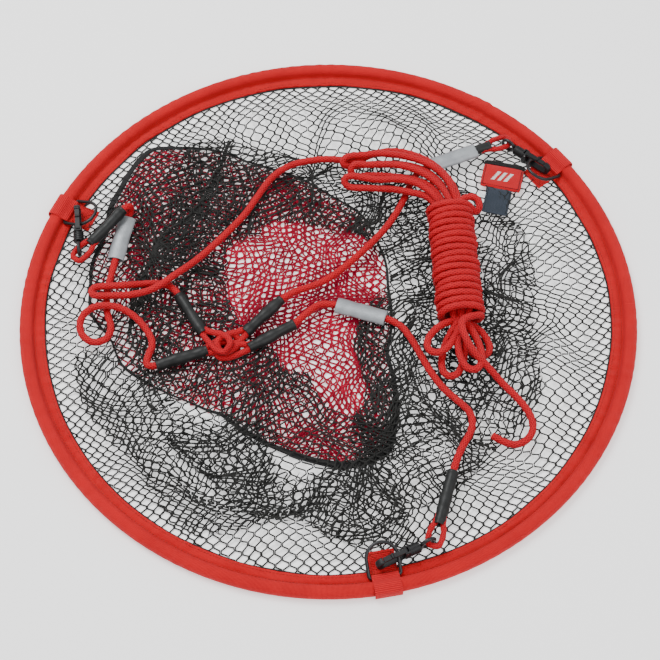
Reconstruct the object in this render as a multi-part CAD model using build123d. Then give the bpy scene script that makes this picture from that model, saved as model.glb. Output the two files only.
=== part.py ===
from build123d import *
import math
import os

# A folding drop net, collapsed flat on the ground. Millimetres, +Z up. The origin is the centre
# of the hoop, on the surface that the hoop rests on.

# --- Hoop and its sleeve ---
HOOP_OUTER_R = 300.0
TUNNEL_WIDTH = 13.0
TUNNEL_HEIGHT = 11.0
TUNNEL_BORE_R = 4.2
WIRE_CENTRE_R = HOOP_OUTER_R - TUNNEL_WIDTH / 2
WIRE_CENTRE_Z = TUNNEL_HEIGHT / 2
HOOP_WIRE_R = 2.0
FERRULE_R = 3.6
FERRULE_SPAN_DEG = 6.0
FLANGE_WIDTH = 11.0
FLANGE_BOTTOM_Z = 1.0
FLANGE_TOP_Z = 2.2
FLANGE_INNER_R = HOOP_OUTER_R - TUNNEL_WIDTH - FLANGE_WIDTH

# --- Net ---
BASE_R = 145.0
BASE_CENTRE = (-88.0, 25.0)
BASE_THICK = 1.5
TAPE_WIDTH = 7.0
TAPE_THICK = 1.8
WALL_BOTTOM_Z = 0.3
WALL_TOP_Z = 3.8
WALL_EDGE_TOP_Z = 1.9
WALL_EDGE_R = 250.0
WALL_HOLE_CENTRE = (-20.0, -5.0)
WALL_HOLE_RADII = (62.0, 84.0)
SOFT_GAP = 0.3

# --- Webbing tabs and D-rings, in a tab's own frame: +X outward, +Y along the hoop ---
TAB_ANGLES = {"bottom": -79.7, "right": 36.2, "left": 156.9}
TAB_WIDTH = 25.0
WEBBING_THICK = 1.4
TAIL_INNER_R = 257.0
RING_BAR_R = 283.0
RING_WIRE_R = 1.6
RING_HALF_WIDTH = 14.5
RING_LIMB = 16.0
RING_CORNER_R = 2.5
RING_TILT_DEG = {"bottom": 25.0, "right": 25.0, "left": 22.0}
RING_PLAY = 0.1
RING_BAR_Z = FLANGE_TOP_Z + WEBBING_THICK + RING_PLAY + RING_WIRE_R

# --- Swivel snap clips, in a clip's own frame: +X from the nose to the eye, +Z up, hook in XZ ---
CLIP_Z = 12.4
CLIP_INWARD = {"bottom": 14.0, "right": 14.0, "left": 17.0}
CLIP_TURN_DEG = {"bottom": 15.0, "right": 15.0, "left": 30.0}
RING_AT_X = 22.0
HOOK_HALF_HEIGHT = 6.7
SLOT_HALF_HEIGHT = 4.1
SLOT_START_X = 4.0
SLOT_END_X = 27.5
HOOK_THICK = 6.0
SHANK_THICK = 8.0
PIVOT_X = 29.3
PIVOT_Z = 4.4
PIN_R = 1.0
PIN_PLAY = 0.05
GATE_WIDTH = 4.4
GATE_HUB_R = 1.9
GATE_TIP_X = 7.0
FORK_HALF_WIDTH = 2.4
FORK_FLOOR_Z = 1.6
SPRING_THICK = 0.35
SPRING_WIDTH = 2.6
BARREL_START_X = 32.0
BARREL_END_X = 43.0
BARREL_R = 5.2
POST_R = 2.2
POST_HEAD_R = 3.3
EYE_R = 6.6
EYE_WIRE_R = 1.7
EYE_CENTRE_X = BARREL_END_X + 0.2 + EYE_WIRE_R + EYE_R
EYE_LIMB_X = EYE_CENTRE_X + EYE_R

# --- Cords and their sleeves ---
CORD_D = 7.0
LOOP_D = 5.5
LOOP_BEND_R = 5.4
LOOP_LENGTH = 16.0
SLEEVE_R = 6.0
SLEEVE_LENGTH = 50.0
CLIP_SLEEVE_LENGTH = {"bottom": 50.0, "right": 12.0, "left": 44.0}
GREY_WIDTH = 17.0
GREY_HEIGHT = 9.0
GREY_BORE_R = 3.8
BRIDLE_GAP = 0.8
CORD_Z = 11.5
OVER_Z = 19.5

# The way each clip's loop pulls, from the eye towards its sleeve.
LOOP_PULL = {
    "bottom": (0.273, 0.962, 0.0),
    "right": (-0.937, -0.349, 0.0),
    "left": (0.66, 0.75, 0.16),
}

# Each junction sleeve: the end at the junction, then the end where its cord comes out.
JUNCTION_SLEEVES = {
    "left": ((-116.0, -52.5, CORD_Z), (-163.2, -69.0, CORD_Z)),
    "right": ((-80.0, -33.0, CORD_Z), (-46.0, 3.6, CORD_Z)),
    "bottom": ((-76.0, -50.0, CORD_Z), (-33.4, -23.9, CORD_Z)),
    "haul": ((-120.0, -34.0, CORD_Z), (-145.7, 8.9, CORD_Z)),
}

# Routes of the free cords, from the clip's sleeve to the junction, and on to the hank.
# The first point of a bridle is the end of its clip sleeve, so it is worked out and not listed.
BRIDLE_ROUTES = {
    "bottom": [
        (117.0, -170.0, 12.0),
        (124.0, -153.0, CORD_Z),
        (134.0, -137.0, CORD_Z),
        (134.0, -120.0, CORD_Z),
        (123.0, -108.0, CORD_Z),
        (110.0, -96.0, CORD_Z),
        (99.0, -80.0, CORD_Z),
        (89.0, -60.0, CORD_Z),
        (80.0, -40.0, CORD_Z),
        (66.0, -19.0, CORD_Z),
        (-4.0, 2.6, CORD_Z),
        (-19.0, -9.0, CORD_Z),
    ],
    "right": [
        (100.0, 163.4, CORD_Z),
        (86.0, 149.0, CORD_Z),
        (79.0, 129.0, CORD_Z),
        (70.0, 108.0, CORD_Z),
        (56.0, 85.0, CORD_Z),
        (37.0, 63.0, CORD_Z),
        (17.0, 42.0, CORD_Z),
        (-3.0, 25.0, CORD_Z),
        (-22.0, 17.0, CORD_Z),
        (-36.0, 12.0, CORD_Z),
    ],
    "left": [
        (-202.3, 105.1, 23.5),
        (-198.0, 108.5, 19.0),
        (-199.0, 106.0, 12.0),
        (-203.0, 97.0, 9.5),
        (-214.0, 29.0, 10.5),
        (-216.5, 8.0, CORD_Z),
        (-214.0, -13.0, CORD_Z),
        (-208.0, -28.0, CORD_Z),
        (-213.0, -42.0, CORD_Z),
        (-227.0, -45.0, CORD_Z),
        (-239.0, -34.0, 12.5),
        (-239.0, -18.0, 15.5),
        (-226.0, -7.5, OVER_Z),
        (-205.0, -7.5, OVER_Z),
        (-188.0, -15.0, 14.5),
        (-175.0, -29.0, CORD_Z),
        (-167.0, -45.0, CORD_Z),
        (-172.5, -60.0, CORD_Z),
        (-173.0, -71.0, CORD_Z),
    ],
}
HAUL_ROUTE = [
    (-145.7, 8.9, CORD_Z),
    (-151.0, 17.5, CORD_Z),
    (-165.0, 23.0, CORD_Z),
    (-182.0, 21.0, 12.5),
    (-197.0, 15.5, OVER_Z),
    (-212.0, 14.5, OVER_Z),
    (-229.5, 13.5, OVER_Z),
    (-229.5, 3.0, OVER_Z),
    (-210.0, 3.5, OVER_Z),
    (-189.0, 5.0, 18.5),
    (-168.0, 11.0, 20.0),
    (-150.0, 27.0, 20.0),
    (-134.0, 45.0, 12.5),
    (-117.0, 63.0, CORD_Z),
    (-101.0, 82.0, CORD_Z),
    (-84.0, 103.0, CORD_Z),
    (-71.0, 127.0, CORD_Z),
    (-58.0, 150.0, CORD_Z),
    (-41.0, 164.0, CORD_Z),
    (-22.0, 170.0, CORD_Z),
    (-3.0, 171.0, 13.5),
    (13.0, 165.0, 20.0),
    (26.0, 158.0, 24.0),
]
TAIL_ROUTE = [
    (136.0, -66.0, 27.0),
    (150.0, -77.0, 22.0),
    (164.0, -90.0, 14.0),
    (178.0, -104.0, CORD_Z),
    (189.0, -121.0, CORD_Z),
    (191.0, -138.0, CORD_Z),
    (181.0, -151.0, CORD_Z),
    (166.0, -153.0, CORD_Z),
    (152.0, -143.0, CORD_Z),
]

# --- Hank ---
WRAPS_START = (121.0, 104.0)
WRAPS_END = (127.0, -24.0)
WRAPS_WIDTH = 44.0
WRAPS_HEIGHT = 34.0
WRAPS_Z = 24.0
FAN_OUTLINE = [(105, -18), (101, -45), (106, -67), (118, -83), (133, -88), (147, -79), (152, -52), (149, -18)]
FAN_Z = (8.0, 33.0)
TOP_OUTLINE = [
    (16, 126), (13, 142), (17, 160), (34, 168), (62, 172), (92, 165),
    (118, 147), (134, 122), (139, 105), (103, 103), (97, 114), (82, 123), (58, 125), (36, 120),
]
TOP_Z = (16.5, 36.0)

# --- Storage strap, in its own frame: origin on its sewn edge, +X towards its free end ---
STRAP_HINGE = (181.7, 169.5)
STRAP_ANGLE = -103.3
STRAP_LENGTH = 32.0
STRAP_WIDTH = 42.0
STRAP_BINDING = 4.0
STRAP_BOTTOM_Z = 4.3
STRAP_THICK = 4.0
HOOK_TAPE_LENGTH = 31.0
HOOK_TAPE_WIDTH = 26.0
HOOK_TAPE_THICK = 1.6


def save(shape, name):
    shape.label = name
    export_step(shape, "parts/" + name + ".step")


def revolved(face):
    """Turn a face drawn in XZ once round the Z axis."""
    return revolve(face, axis=Axis.Z, revolution_arc=360)


def disc(radius, low, high, centre=(0.0, 0.0)):
    return Pos(centre[0], centre[1], low) * Cylinder(
        radius, high - low, align=(Align.CENTER, Align.CENTER, Align.MIN)
    )


def tube_along(start, end, radius):
    """A round bar from one point to another."""
    line = Line(start, end)
    return sweep(Plane(origin=line @ 0, z_dir=line % 0) * Circle(radius), path=line)


def fillet_radii(points):
    """The largest arc that each corner of a route has room for."""
    radii = []
    for before, here, after in zip(points, points[1:], points[2:]):
        run_in = Vector(*here) - Vector(*before)
        run_out = Vector(*after) - Vector(*here)
        half_turn = math.radians(run_in.get_angle(run_out) / 2)
        radii.append(0.45 * min(run_in.length, run_out.length) / math.tan(half_turn))
    return radii


def cord_tube(name, points, diameter):
    """A limp cord as straight runs joined by tangent arcs."""
    path = FilletPolyline(*points, radius=fillet_radii(points))
    tube = sweep(Plane(origin=path @ 0, z_dir=path % 0) * Circle(diameter / 2), path=path)
    expected = math.pi * (diameter / 2) ** 2 * path.length
    print(name, "length", round(path.length, 1), "volume ratio", round(tube.volume / expected, 4))
    return tube


# --- Hoop ---


def hoop_spring():
    return Pos(0, 0, WIRE_CENTRE_Z) * Torus(WIRE_CENTRE_R, HOOP_WIRE_R)


def hoop_ferrule():
    """A crimped tube over the butted ends of the hoop wire."""
    ring_section = Circle(FERRULE_R) - Circle(HOOP_WIRE_R + 0.05)
    section = Plane.XZ * Pos(WIRE_CENTRE_R, WIRE_CENTRE_Z) * ring_section
    ferrule = revolve(section, axis=Axis.Z, revolution_arc=FERRULE_SPAN_DEG)
    return Rot(0, 0, 96) * ferrule


def rim_sleeve():
    """The fabric tunnel round the hoop, with a flat underside and an inner flange."""
    tunnel = Pos(WIRE_CENTRE_R, WIRE_CENTRE_Z) * RectangleRounded(TUNNEL_WIDTH, TUNNEL_HEIGHT, 4.6)
    flange_r = (FLANGE_INNER_R + WIRE_CENTRE_R - TUNNEL_BORE_R) / 2 - 0.5
    flange_width = 2 * (flange_r - FLANGE_INNER_R)
    flange_z = (FLANGE_BOTTOM_Z + FLANGE_TOP_Z) / 2
    flange = Pos(flange_r, flange_z) * Rectangle(flange_width, FLANGE_TOP_Z - FLANGE_BOTTOM_Z)
    bore = Pos(WIRE_CENTRE_R, WIRE_CENTRE_Z) * Circle(TUNNEL_BORE_R)
    return revolved(Plane.XZ * (tunnel + flange - bore))


# --- Net ---


def net_base():
    return disc(BASE_R, 0, BASE_THICK, BASE_CENTRE)


def base_seam_tape():
    outer = disc(BASE_R + TAPE_WIDTH, 0, TAPE_THICK, BASE_CENTRE)
    return outer - disc(BASE_R, -1, TAPE_THICK + 1, BASE_CENTRE)


def net_wall():
    """The gathered wall, from the flange to the base, which it covers all but the middle of."""
    wall = disc(FLANGE_INNER_R - SOFT_GAP, WALL_BOTTOM_Z, WALL_EDGE_TOP_Z)
    wall += disc(WALL_EDGE_R, WALL_BOTTOM_Z, WALL_TOP_Z)
    pocket = disc(BASE_R + TAPE_WIDTH + SOFT_GAP, -1, TAPE_THICK + SOFT_GAP, BASE_CENTRE)
    hole = Pos(*WALL_HOLE_CENTRE, -1) * extrude(Ellipse(*WALL_HOLE_RADII), amount=WALL_TOP_Z + 2)
    return wall - pocket - hole


# --- Tabs and D-rings ---


def webbing_tab():
    """Webbing over the hoop, folded round the ring's bar, with a tail sewn to the net."""
    fold_r = RING_WIRE_R + RING_PLAY
    bar_x = RING_BAR_R
    profile = Plane.XZ * (
        Pos(bar_x, RING_BAR_Z) * Circle(fold_r + WEBBING_THICK)
        - Pos(bar_x, RING_BAR_Z) * Circle(fold_r)
    )
    over_hoop = Plane.XZ * (
        Pos(WIRE_CENTRE_R + 0.3, WIRE_CENTRE_Z + 0.3)
        * RectangleRounded(
            TUNNEL_WIDTH + 0.6 + 2 * WEBBING_THICK, TUNNEL_HEIGHT + 2 * WEBBING_THICK, 5.6
        )
        - Pos(WIRE_CENTRE_R, WIRE_CENTRE_Z)
        * RectangleRounded(TUNNEL_WIDTH + 2 * SOFT_GAP, TUNNEL_HEIGHT + 2 * SOFT_GAP, 4.9)
    )
    below = Plane.XZ * Pos(WIRE_CENTRE_R, 0) * Rectangle(60, 5.0)
    tail_length = bar_x + fold_r - TAIL_INNER_R
    tail = Plane.XZ * Pos(TAIL_INNER_R + tail_length / 2, FLANGE_TOP_Z + WEBBING_THICK / 2)
    tail = tail * Rectangle(tail_length, WEBBING_THICK)
    bridge_z = RING_BAR_Z + fold_r + WEBBING_THICK / 2
    bridge = Plane.XZ * Pos(bar_x + 2.6, bridge_z) * Rectangle(5.2, WEBBING_THICK)
    band = profile + (over_hoop - below) + tail + bridge
    bar_hole = Plane.XZ * Pos(bar_x, RING_BAR_Z) * Circle(fold_r)
    solid = extrude(band - bar_hole, amount=TAB_WIDTH / 2, both=True)
    sleeve_room = Plane.XZ * Pos(WIRE_CENTRE_R, WIRE_CENTRE_Z) * RectangleRounded(
        TUNNEL_WIDTH + 2 * SOFT_GAP, TUNNEL_HEIGHT + 2 * SOFT_GAP, 4.9
    )
    return solid - extrude(sleeve_room, amount=TAB_WIDTH, both=True)


def d_ring(tilt_deg):
    """A wire D: the straight bar lies in the tab, and the bow rises towards the net."""
    w = RING_HALF_WIDTH
    bow_top = RING_LIMB + w
    c = RING_CORNER_R
    path = Wire(
        [
            Line((0, -w + c), (0, w - c)),
            RadiusArc((0, w - c), (-c, w), -c),
            Line((-c, w), (-RING_LIMB, w)),
            ThreePointArc((-RING_LIMB, w), (-bow_top, 0), (-RING_LIMB, -w)),
            Line((-RING_LIMB, -w), (-c, -w)),
            RadiusArc((-c, -w), (0, -w + c), -c),
        ]
    )
    ring = sweep(Plane(origin=(0, 0, 0), z_dir=(0, 1, 0)) * Circle(RING_WIRE_R), path=path)
    return Pos(RING_BAR_R, 0, RING_BAR_Z) * Rot(0, tilt_deg, 0) * ring


# --- Clips ---


def clip_place(name):
    """Where a clip's own frame stands in its tab's frame."""
    turn = math.radians(CLIP_TURN_DEG[name])
    along = (-math.sin(turn), math.cos(turn))
    ring_point = (RING_BAR_R - CLIP_INWARD[name], RING_HALF_WIDTH)
    nose = [p - RING_AT_X * a for p, a in zip(ring_point, along)]
    return Pos(nose[0], nose[1], CLIP_Z) * Rot(0, 0, 90 + CLIP_TURN_DEG[name])


def eye_point(name):
    """The middle of the eye limb that the cord loop goes round."""
    place = Rot(0, 0, TAB_ANGLES[name]) * clip_place(name) * Pos(EYE_LIMB_X, 0, 0)
    return place.position


def hook_body():
    """Hook, fork for the gate, and the ribbed barrel that holds the swivel."""
    plate_length = BARREL_START_X + 1
    plate = Plane.XZ * Pos(plate_length / 2, 0) * RectangleRounded(plate_length, 2 * HOOK_HALF_HEIGHT, 6.0)
    body = extrude(plate, amount=HOOK_THICK / 2, both=True)
    body = fillet(body.edges().filter_by(GeomType.CIRCLE), 1.2)
    slot_length = SLOT_END_X - SLOT_START_X
    slot = Plane.XZ * Pos(SLOT_START_X + slot_length / 2, 0) * RectangleRounded(
        slot_length, 2 * SLOT_HALF_HEIGHT, 3.4
    )
    body -= extrude(slot, amount=HOOK_THICK, both=True)
    mouth = Plane.XZ * Pos((GATE_TIP_X + SLOT_END_X) / 2 - 0.2, HOOK_HALF_HEIGHT)
    mouth = mouth * Rectangle(SLOT_END_X - GATE_TIP_X + 0.4, 2 * HOOK_HALF_HEIGHT - 4.0)
    body -= extrude(mouth, amount=HOOK_THICK, both=True)
    shank = Pos((SLOT_END_X + BARREL_START_X + 1) / 2, 0, 0) * Box(
        BARREL_START_X + 1 - SLOT_END_X, SHANK_THICK, 2 * HOOK_HALF_HEIGHT - 0.8
    )
    body += fillet(shank.edges(), 0.9)
    barrel_length = BARREL_END_X - BARREL_START_X
    barrel = Pos(BARREL_START_X + barrel_length / 2, 0, 0) * Rot(0, 90, 0) * Cylinder(BARREL_R, barrel_length)
    barrel = chamfer(barrel.edges(), 0.6)
    for step in range(4):
        rib_x = BARREL_START_X + 2.6 + 2.1 * step
        groove = Pos(rib_x, 0, 0) * Rot(0, 90, 0) * (Cylinder(BARREL_R + 1, 0.8) - Cylinder(BARREL_R - 0.5, 0.8))
        barrel -= groove
    body += barrel
    fork_length = BARREL_START_X - 0.2 - SLOT_END_X
    body -= Pos(SLOT_END_X + fork_length / 2 - 0.5, 0, FORK_FLOOR_Z + 5) * Box(
        fork_length + 1, 2 * FORK_HALF_WIDTH, 10
    )
    body -= Pos(PIVOT_X, 0, PIVOT_Z) * Rot(90, 0, 0) * Cylinder(PIN_R, 20)
    head_room = Pos(BARREL_START_X + 3.0, 0, 0) * Rot(0, 90, 0) * Cylinder(POST_HEAD_R + 0.3, 3.2)
    bore_length = BARREL_END_X - BARREL_START_X - 3
    bore = Pos(BARREL_END_X - bore_length / 2, 0, 0) * Rot(0, 90, 0) * Cylinder(POST_R + PIN_PLAY, bore_length + 0.2)
    return body - head_room - bore


def clip_gate():
    hub = Pos(PIVOT_X, 0, PIVOT_Z) * Rot(90, 0, 0) * Cylinder(GATE_HUB_R, GATE_WIDTH)
    arm_low = SLOT_HALF_HEIGHT + 0.1
    arm_high = HOOK_HALF_HEIGHT - 0.2
    arm_start = GATE_TIP_X + 0.3
    arm = Pos((arm_start + PIVOT_X) / 2, 0, (arm_low + arm_high) / 2) * Box(
        PIVOT_X - arm_start, GATE_WIDTH, arm_high - arm_low
    )
    thumb = Pos(GATE_TIP_X + 9, 0, arm_high) * Rot(90, 0, 0) * Cylinder(1.5, GATE_WIDTH)
    gate = arm + hub + thumb
    return gate - Pos(PIVOT_X, 0, PIVOT_Z) * Rot(90, 0, 0) * Cylinder(PIN_R + PIN_PLAY, 20)


def clip_pin():
    return Pos(PIVOT_X, 0, PIVOT_Z) * Rot(90, 0, 0) * Cylinder(PIN_R, SHANK_THICK - 0.4)


def clip_spring():
    """A leaf from the fork's floor to the underside of the gate."""
    t = SPRING_THICK
    floor = FORK_FLOOR_Z
    tip_z = SLOT_HALF_HEIGHT - 0.15
    outline = Polyline(
        (31.6, floor), (28.0, floor), (25.8, tip_z - t), (25.8, tip_z), (27.8, floor + t + 0.4),
        (28.4, floor + t), (31.6, floor + t), close=True,
    )
    return extrude(Plane.XZ * make_face(outline), amount=SPRING_WIDTH / 2, both=True)


def clip_eye():
    """The eye, its post and the head that keeps it in the barrel."""
    ring = Pos(EYE_CENTRE_X, 0, 0) * Rot(90, 0, 0) * Torus(EYE_R, EYE_WIRE_R)
    head_x = BARREL_START_X + 3.0
    post_end = EYE_CENTRE_X - EYE_R
    post = Pos((head_x + post_end) / 2, 0, 0) * Rot(0, 90, 0) * Cylinder(POST_R, post_end - head_x)
    head = Pos(head_x, 0, 0) * Rot(0, 90, 0) * Cylinder(POST_HEAD_R, 2.4)
    return ring + post + head


# --- Cords ---


def pull_frame(name):
    """A frame at the eye's limb: X along the loop's pull, Z as upright as it can be."""
    pull = Vector(*LOOP_PULL[name]).normalized()
    side = Vector(0, 0, 1).cross(pull).normalized()
    up = pull.cross(side)
    origin = eye_point(name)
    return Plane(origin=origin, x_dir=pull, z_dir=up)


def on_pull(name, distance):
    """A point on the loop's line of pull."""
    place = pull_frame(name)
    point = place.origin + place.x_dir * distance
    return (point.X, point.Y, point.Z)


def clip_loop(name):
    b = LOOP_BEND_R
    half = LOOP_D / 2
    route = [(LOOP_LENGTH, half), (8.0, b), (-b, b), (-b, -b), (8.0, -b), (LOOP_LENGTH, -half)]
    points = []
    for x, y in route:
        point = pull_frame(name).from_local_coords(Vector(x, y, 0))
        points.append((point.X, point.Y, point.Z))
    return cord_tube("loop_" + name, points, LOOP_D)


def clip_sleeve_end(name):
    return on_pull(name, LOOP_LENGTH + CLIP_SLEEVE_LENGTH[name])


def bridle_start(name):
    return on_pull(name, LOOP_LENGTH + CLIP_SLEEVE_LENGTH[name] + BRIDLE_GAP)


def bridle_points(name):
    return [bridle_start(name)] + BRIDLE_ROUTES[name] + [JUNCTION_SLEEVES[name][1]]


def grey_sleeve(start, towards, gap):
    """A flattened reflective sleeve that slides on the cord."""
    along = (Vector(*towards) - Vector(*start)).normalized()
    side = Vector(0, 0, 1).cross(along).normalized()
    origin = Vector(*start) + along * gap
    section = RectangleRounded(GREY_WIDTH, GREY_HEIGHT, 4.4) - Circle(GREY_BORE_R)
    return extrude(Plane(origin=origin, x_dir=side, z_dir=along) * section, amount=SLEEVE_LENGTH)


def junction_loops():
    """The outer shape of the four linked loops."""
    outline = Polyline(
        (-119, -38), (-115, -58), (-96, -58), (-75, -54), (-72, -46), (-77, -31), (-98, -29), close=True
    )
    slab = Pos(0, 0, CORD_Z - 6) * extrude(make_face(outline), amount=13)
    slab = fillet(slab.edges().filter_by(Axis.Z), 2.5)
    for ends in JUNCTION_SLEEVES.values():
        slab -= tube_along(*ends, SLEEVE_R)
    return slab


# --- Hank ---


def hank_wraps():
    """The wrapped body of the hank and the loops that fan out below it."""
    start = Vector(*WRAPS_START, WRAPS_Z)
    end = Vector(*WRAPS_END, WRAPS_Z)
    along = (end - start).normalized()
    side = Vector(0, 0, 1).cross(along).normalized()
    section = Plane(origin=start, x_dir=side, z_dir=along) * Ellipse(WRAPS_WIDTH / 2, WRAPS_HEIGHT / 2)
    wraps = extrude(section, amount=(end - start).length)
    fan = Pos(0, 0, FAN_Z[0]) * extrude(
        make_face(Polyline(*FAN_OUTLINE, close=True)), amount=FAN_Z[1] - FAN_Z[0]
    )
    return wraps + fan


def hank_top_loops():
    outline = make_face(Polyline(*TOP_OUTLINE, close=True))
    slab = Pos(0, 0, TOP_Z[0]) * extrude(outline, amount=TOP_Z[1] - TOP_Z[0])
    return slab - hank_wraps()


# --- Strap ---


def on_strap(centre_x, size_x, size_y, low, high):
    """A slab in the strap's own frame, placed on the net."""
    slab = Pos(centre_x, 0, (low + high) / 2) * Box(size_x, size_y, high - low)
    return Pos(*STRAP_HINGE, STRAP_BOTTOM_Z) * Rot(0, 0, STRAP_ANGLE) * slab


def strap_band():
    length = STRAP_LENGTH - STRAP_BINDING
    return on_strap(STRAP_BINDING + length / 2, length, STRAP_WIDTH, 0, STRAP_THICK)


def strap_binding():
    return on_strap(STRAP_BINDING / 2, STRAP_BINDING, STRAP_WIDTH, 0, STRAP_THICK)


def strap_hook_tape():
    """Hook tape that sticks out past the free end of the band."""
    centre_x = STRAP_LENGTH + HOOK_TAPE_LENGTH / 2
    tape = on_strap(centre_x, HOOK_TAPE_LENGTH, HOOK_TAPE_WIDTH, 1.0, 1.0 + HOOK_TAPE_THICK)
    return fillet(tape.edges().filter_by(Axis.Z), 2.0)


os.makedirs("parts", exist_ok=True)

save(hoop_spring(), "hoop_spring")
save(hoop_ferrule(), "hoop_ferrule")
save(rim_sleeve(), "rim_sleeve")
save(net_base(), "net_base")
save(base_seam_tape(), "base_seam_tape")
save(net_wall(), "net_wall")

for place_name, angle in TAB_ANGLES.items():
    turned = Rot(0, 0, angle)
    clip = turned * clip_place(place_name)
    save(turned * webbing_tab(), "tab_" + place_name)
    save(turned * d_ring(RING_TILT_DEG[place_name]), "dring_" + place_name)
    save(clip * hook_body(), "clip_" + place_name + "_hook")
    save(clip * clip_gate(), "clip_" + place_name + "_gate")
    save(clip * clip_pin(), "clip_" + place_name + "_pin")
    save(clip * clip_spring(), "clip_" + place_name + "_spring")
    save(clip * clip_eye(), "clip_" + place_name + "_eye")
    save(clip_loop(place_name), "loop_" + place_name)
    sleeve = tube_along(on_pull(place_name, LOOP_LENGTH), clip_sleeve_end(place_name), SLEEVE_R)
    save(sleeve, "clip_sleeve_" + place_name)
    save(cord_tube("bridle_" + place_name, bridle_points(place_name), CORD_D), "bridle_" + place_name)

for sleeve_name, (junction_end, cord_end) in JUNCTION_SLEEVES.items():
    save(tube_along(junction_end, cord_end, SLEEVE_R), "junction_sleeve_" + sleeve_name)

save(grey_sleeve(clip_sleeve_end("right"), BRIDLE_ROUTES["right"][0], 1.0), "grey_sleeve_right")
save(grey_sleeve(BRIDLE_ROUTES["left"][3], BRIDLE_ROUTES["left"][4], 7.0), "grey_sleeve_left")
save(grey_sleeve(BRIDLE_ROUTES["bottom"][10], BRIDLE_ROUTES["bottom"][9], 10.0), "grey_sleeve_bottom")
save(junction_loops(), "junction_loops")
save(cord_tube("haul_line", HAUL_ROUTE, CORD_D), "haul_line")
save(hank_wraps(), "hank_wraps")
save(hank_top_loops(), "hank_top_loops")
save(cord_tube("hank_tail", TAIL_ROUTE, CORD_D), "hank_tail")
save(strap_band(), "strap_band")
save(strap_binding(), "strap_binding")
save(strap_hook_tape(), "strap_hook_tape")
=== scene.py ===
import math

import bpy
import numpy as np
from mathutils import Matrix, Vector


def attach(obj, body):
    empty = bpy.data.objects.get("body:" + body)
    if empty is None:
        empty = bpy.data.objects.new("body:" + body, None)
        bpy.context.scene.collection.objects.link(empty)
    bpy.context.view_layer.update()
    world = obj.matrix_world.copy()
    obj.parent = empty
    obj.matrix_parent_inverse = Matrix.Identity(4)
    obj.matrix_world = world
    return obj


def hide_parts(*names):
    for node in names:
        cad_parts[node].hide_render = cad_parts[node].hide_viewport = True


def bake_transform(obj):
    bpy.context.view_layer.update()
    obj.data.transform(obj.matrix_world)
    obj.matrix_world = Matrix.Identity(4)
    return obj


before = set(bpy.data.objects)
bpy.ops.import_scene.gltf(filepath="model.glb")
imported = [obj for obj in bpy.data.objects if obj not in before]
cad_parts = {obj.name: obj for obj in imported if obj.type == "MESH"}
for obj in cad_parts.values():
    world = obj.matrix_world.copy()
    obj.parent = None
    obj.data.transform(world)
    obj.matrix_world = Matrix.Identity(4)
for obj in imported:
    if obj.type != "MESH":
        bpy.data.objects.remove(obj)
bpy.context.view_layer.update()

MM = 0.001
UP = np.array([0, 0, 1.0])
SIDES = ("bottom", "right", "left")

# --- Sizes, in metres, as in the CAD model ---
RIM_R = 0.300
BASE_CENTRE = np.array([-0.088, 0.025])
CORD_R = 0.0035
LOOP_R = 0.00275
CORD_Z = 0.0115
TAB_ANGLE = {"bottom": -79.7, "right": 36.2, "left": 156.9}
JUNCTION_LOOP_R = 0.0031
THREAD_R = 0.00028


# --- Small helpers ---


def smooth(t):
    t = np.clip(t, 0.0, 1.0)
    return t * t * (3 - 2 * t)


class Noise:
    """Smooth repeatable noise of a point in the plane, about -1 to 1."""

    def __init__(self, seed, size, waves=10):
        rng = np.random.default_rng(seed)
        angle = rng.uniform(0, 2 * math.pi, waves)
        length = size * rng.uniform(0.7, 1.8, waves)
        self.kx = 2 * math.pi * np.cos(angle) / length
        self.ky = 2 * math.pi * np.sin(angle) / length
        self.phase = rng.uniform(0, 2 * math.pi, waves)
        self.gain = 1.0 / math.sqrt(waves / 2) / 1.5

    def __call__(self, x, y):
        x = np.asarray(x, float)[..., None]
        y = np.asarray(y, float)[..., None]
        return self.gain * np.sin(x * self.kx + y * self.ky + self.phase).sum(-1)


def ring_noise(seed, low, high, angle):
    """Smooth noise round a circle, about -1 to 1, from whole waves low to high per turn."""
    rng = np.random.default_rng(seed)
    total = np.zeros_like(angle)
    for k in range(low, high + 1):
        total += np.sin(k * angle + rng.uniform(0, 2 * math.pi)) / math.sqrt(high - low + 1)
    return total


def mesh_piece(name, verts, faces, materials, uvs=None, face_slots=None, shade=True):
    """A mesh object from arrays. uvs has one pair per face corner, in metres."""
    mesh = bpy.data.meshes.new(name)
    mesh.from_pydata([tuple(v) for v in verts], [], [tuple(int(i) for i in f) for f in faces])
    mesh.update()
    if uvs is not None:
        layer = mesh.uv_layers.new(name="UVMap")
        layer.data.foreach_set("uv", np.asarray(uvs, np.float32).ravel())
    for material in materials:
        mesh.materials.append(material)
    if face_slots is not None:
        mesh.polygons.foreach_set("material_index", np.asarray(face_slots, np.int32))
    mesh.polygons.foreach_set("use_smooth", np.full(len(mesh.polygons), shade))
    obj = bpy.data.objects.new(name, mesh)
    bpy.context.scene.collection.objects.link(obj)
    return obj


class Soup:
    """Collects faces with their own texture coordinates and material slots."""

    def __init__(self):
        self.verts, self.faces, self.uvs, self.slots, self.count = [], [], [], [], 0

    def add(self, verts, faces, uvs, slot=0):
        """slot is one material slot for all the faces, or a list with one for each."""
        self.verts.append(np.asarray(verts, float))
        self.faces += [[int(i) + self.count for i in face] for face in faces]
        self.slots += slot if isinstance(slot, list) else [slot] * len(faces)
        self.uvs.append(np.asarray(uvs, float).reshape(-1, 2))
        self.count += len(verts)

    def piece(self, name, materials, shade=True):
        verts = np.concatenate(self.verts)
        uvs = np.concatenate(self.uvs)
        return mesh_piece(name, verts, self.faces, materials, uvs, self.slots, shade)


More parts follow.
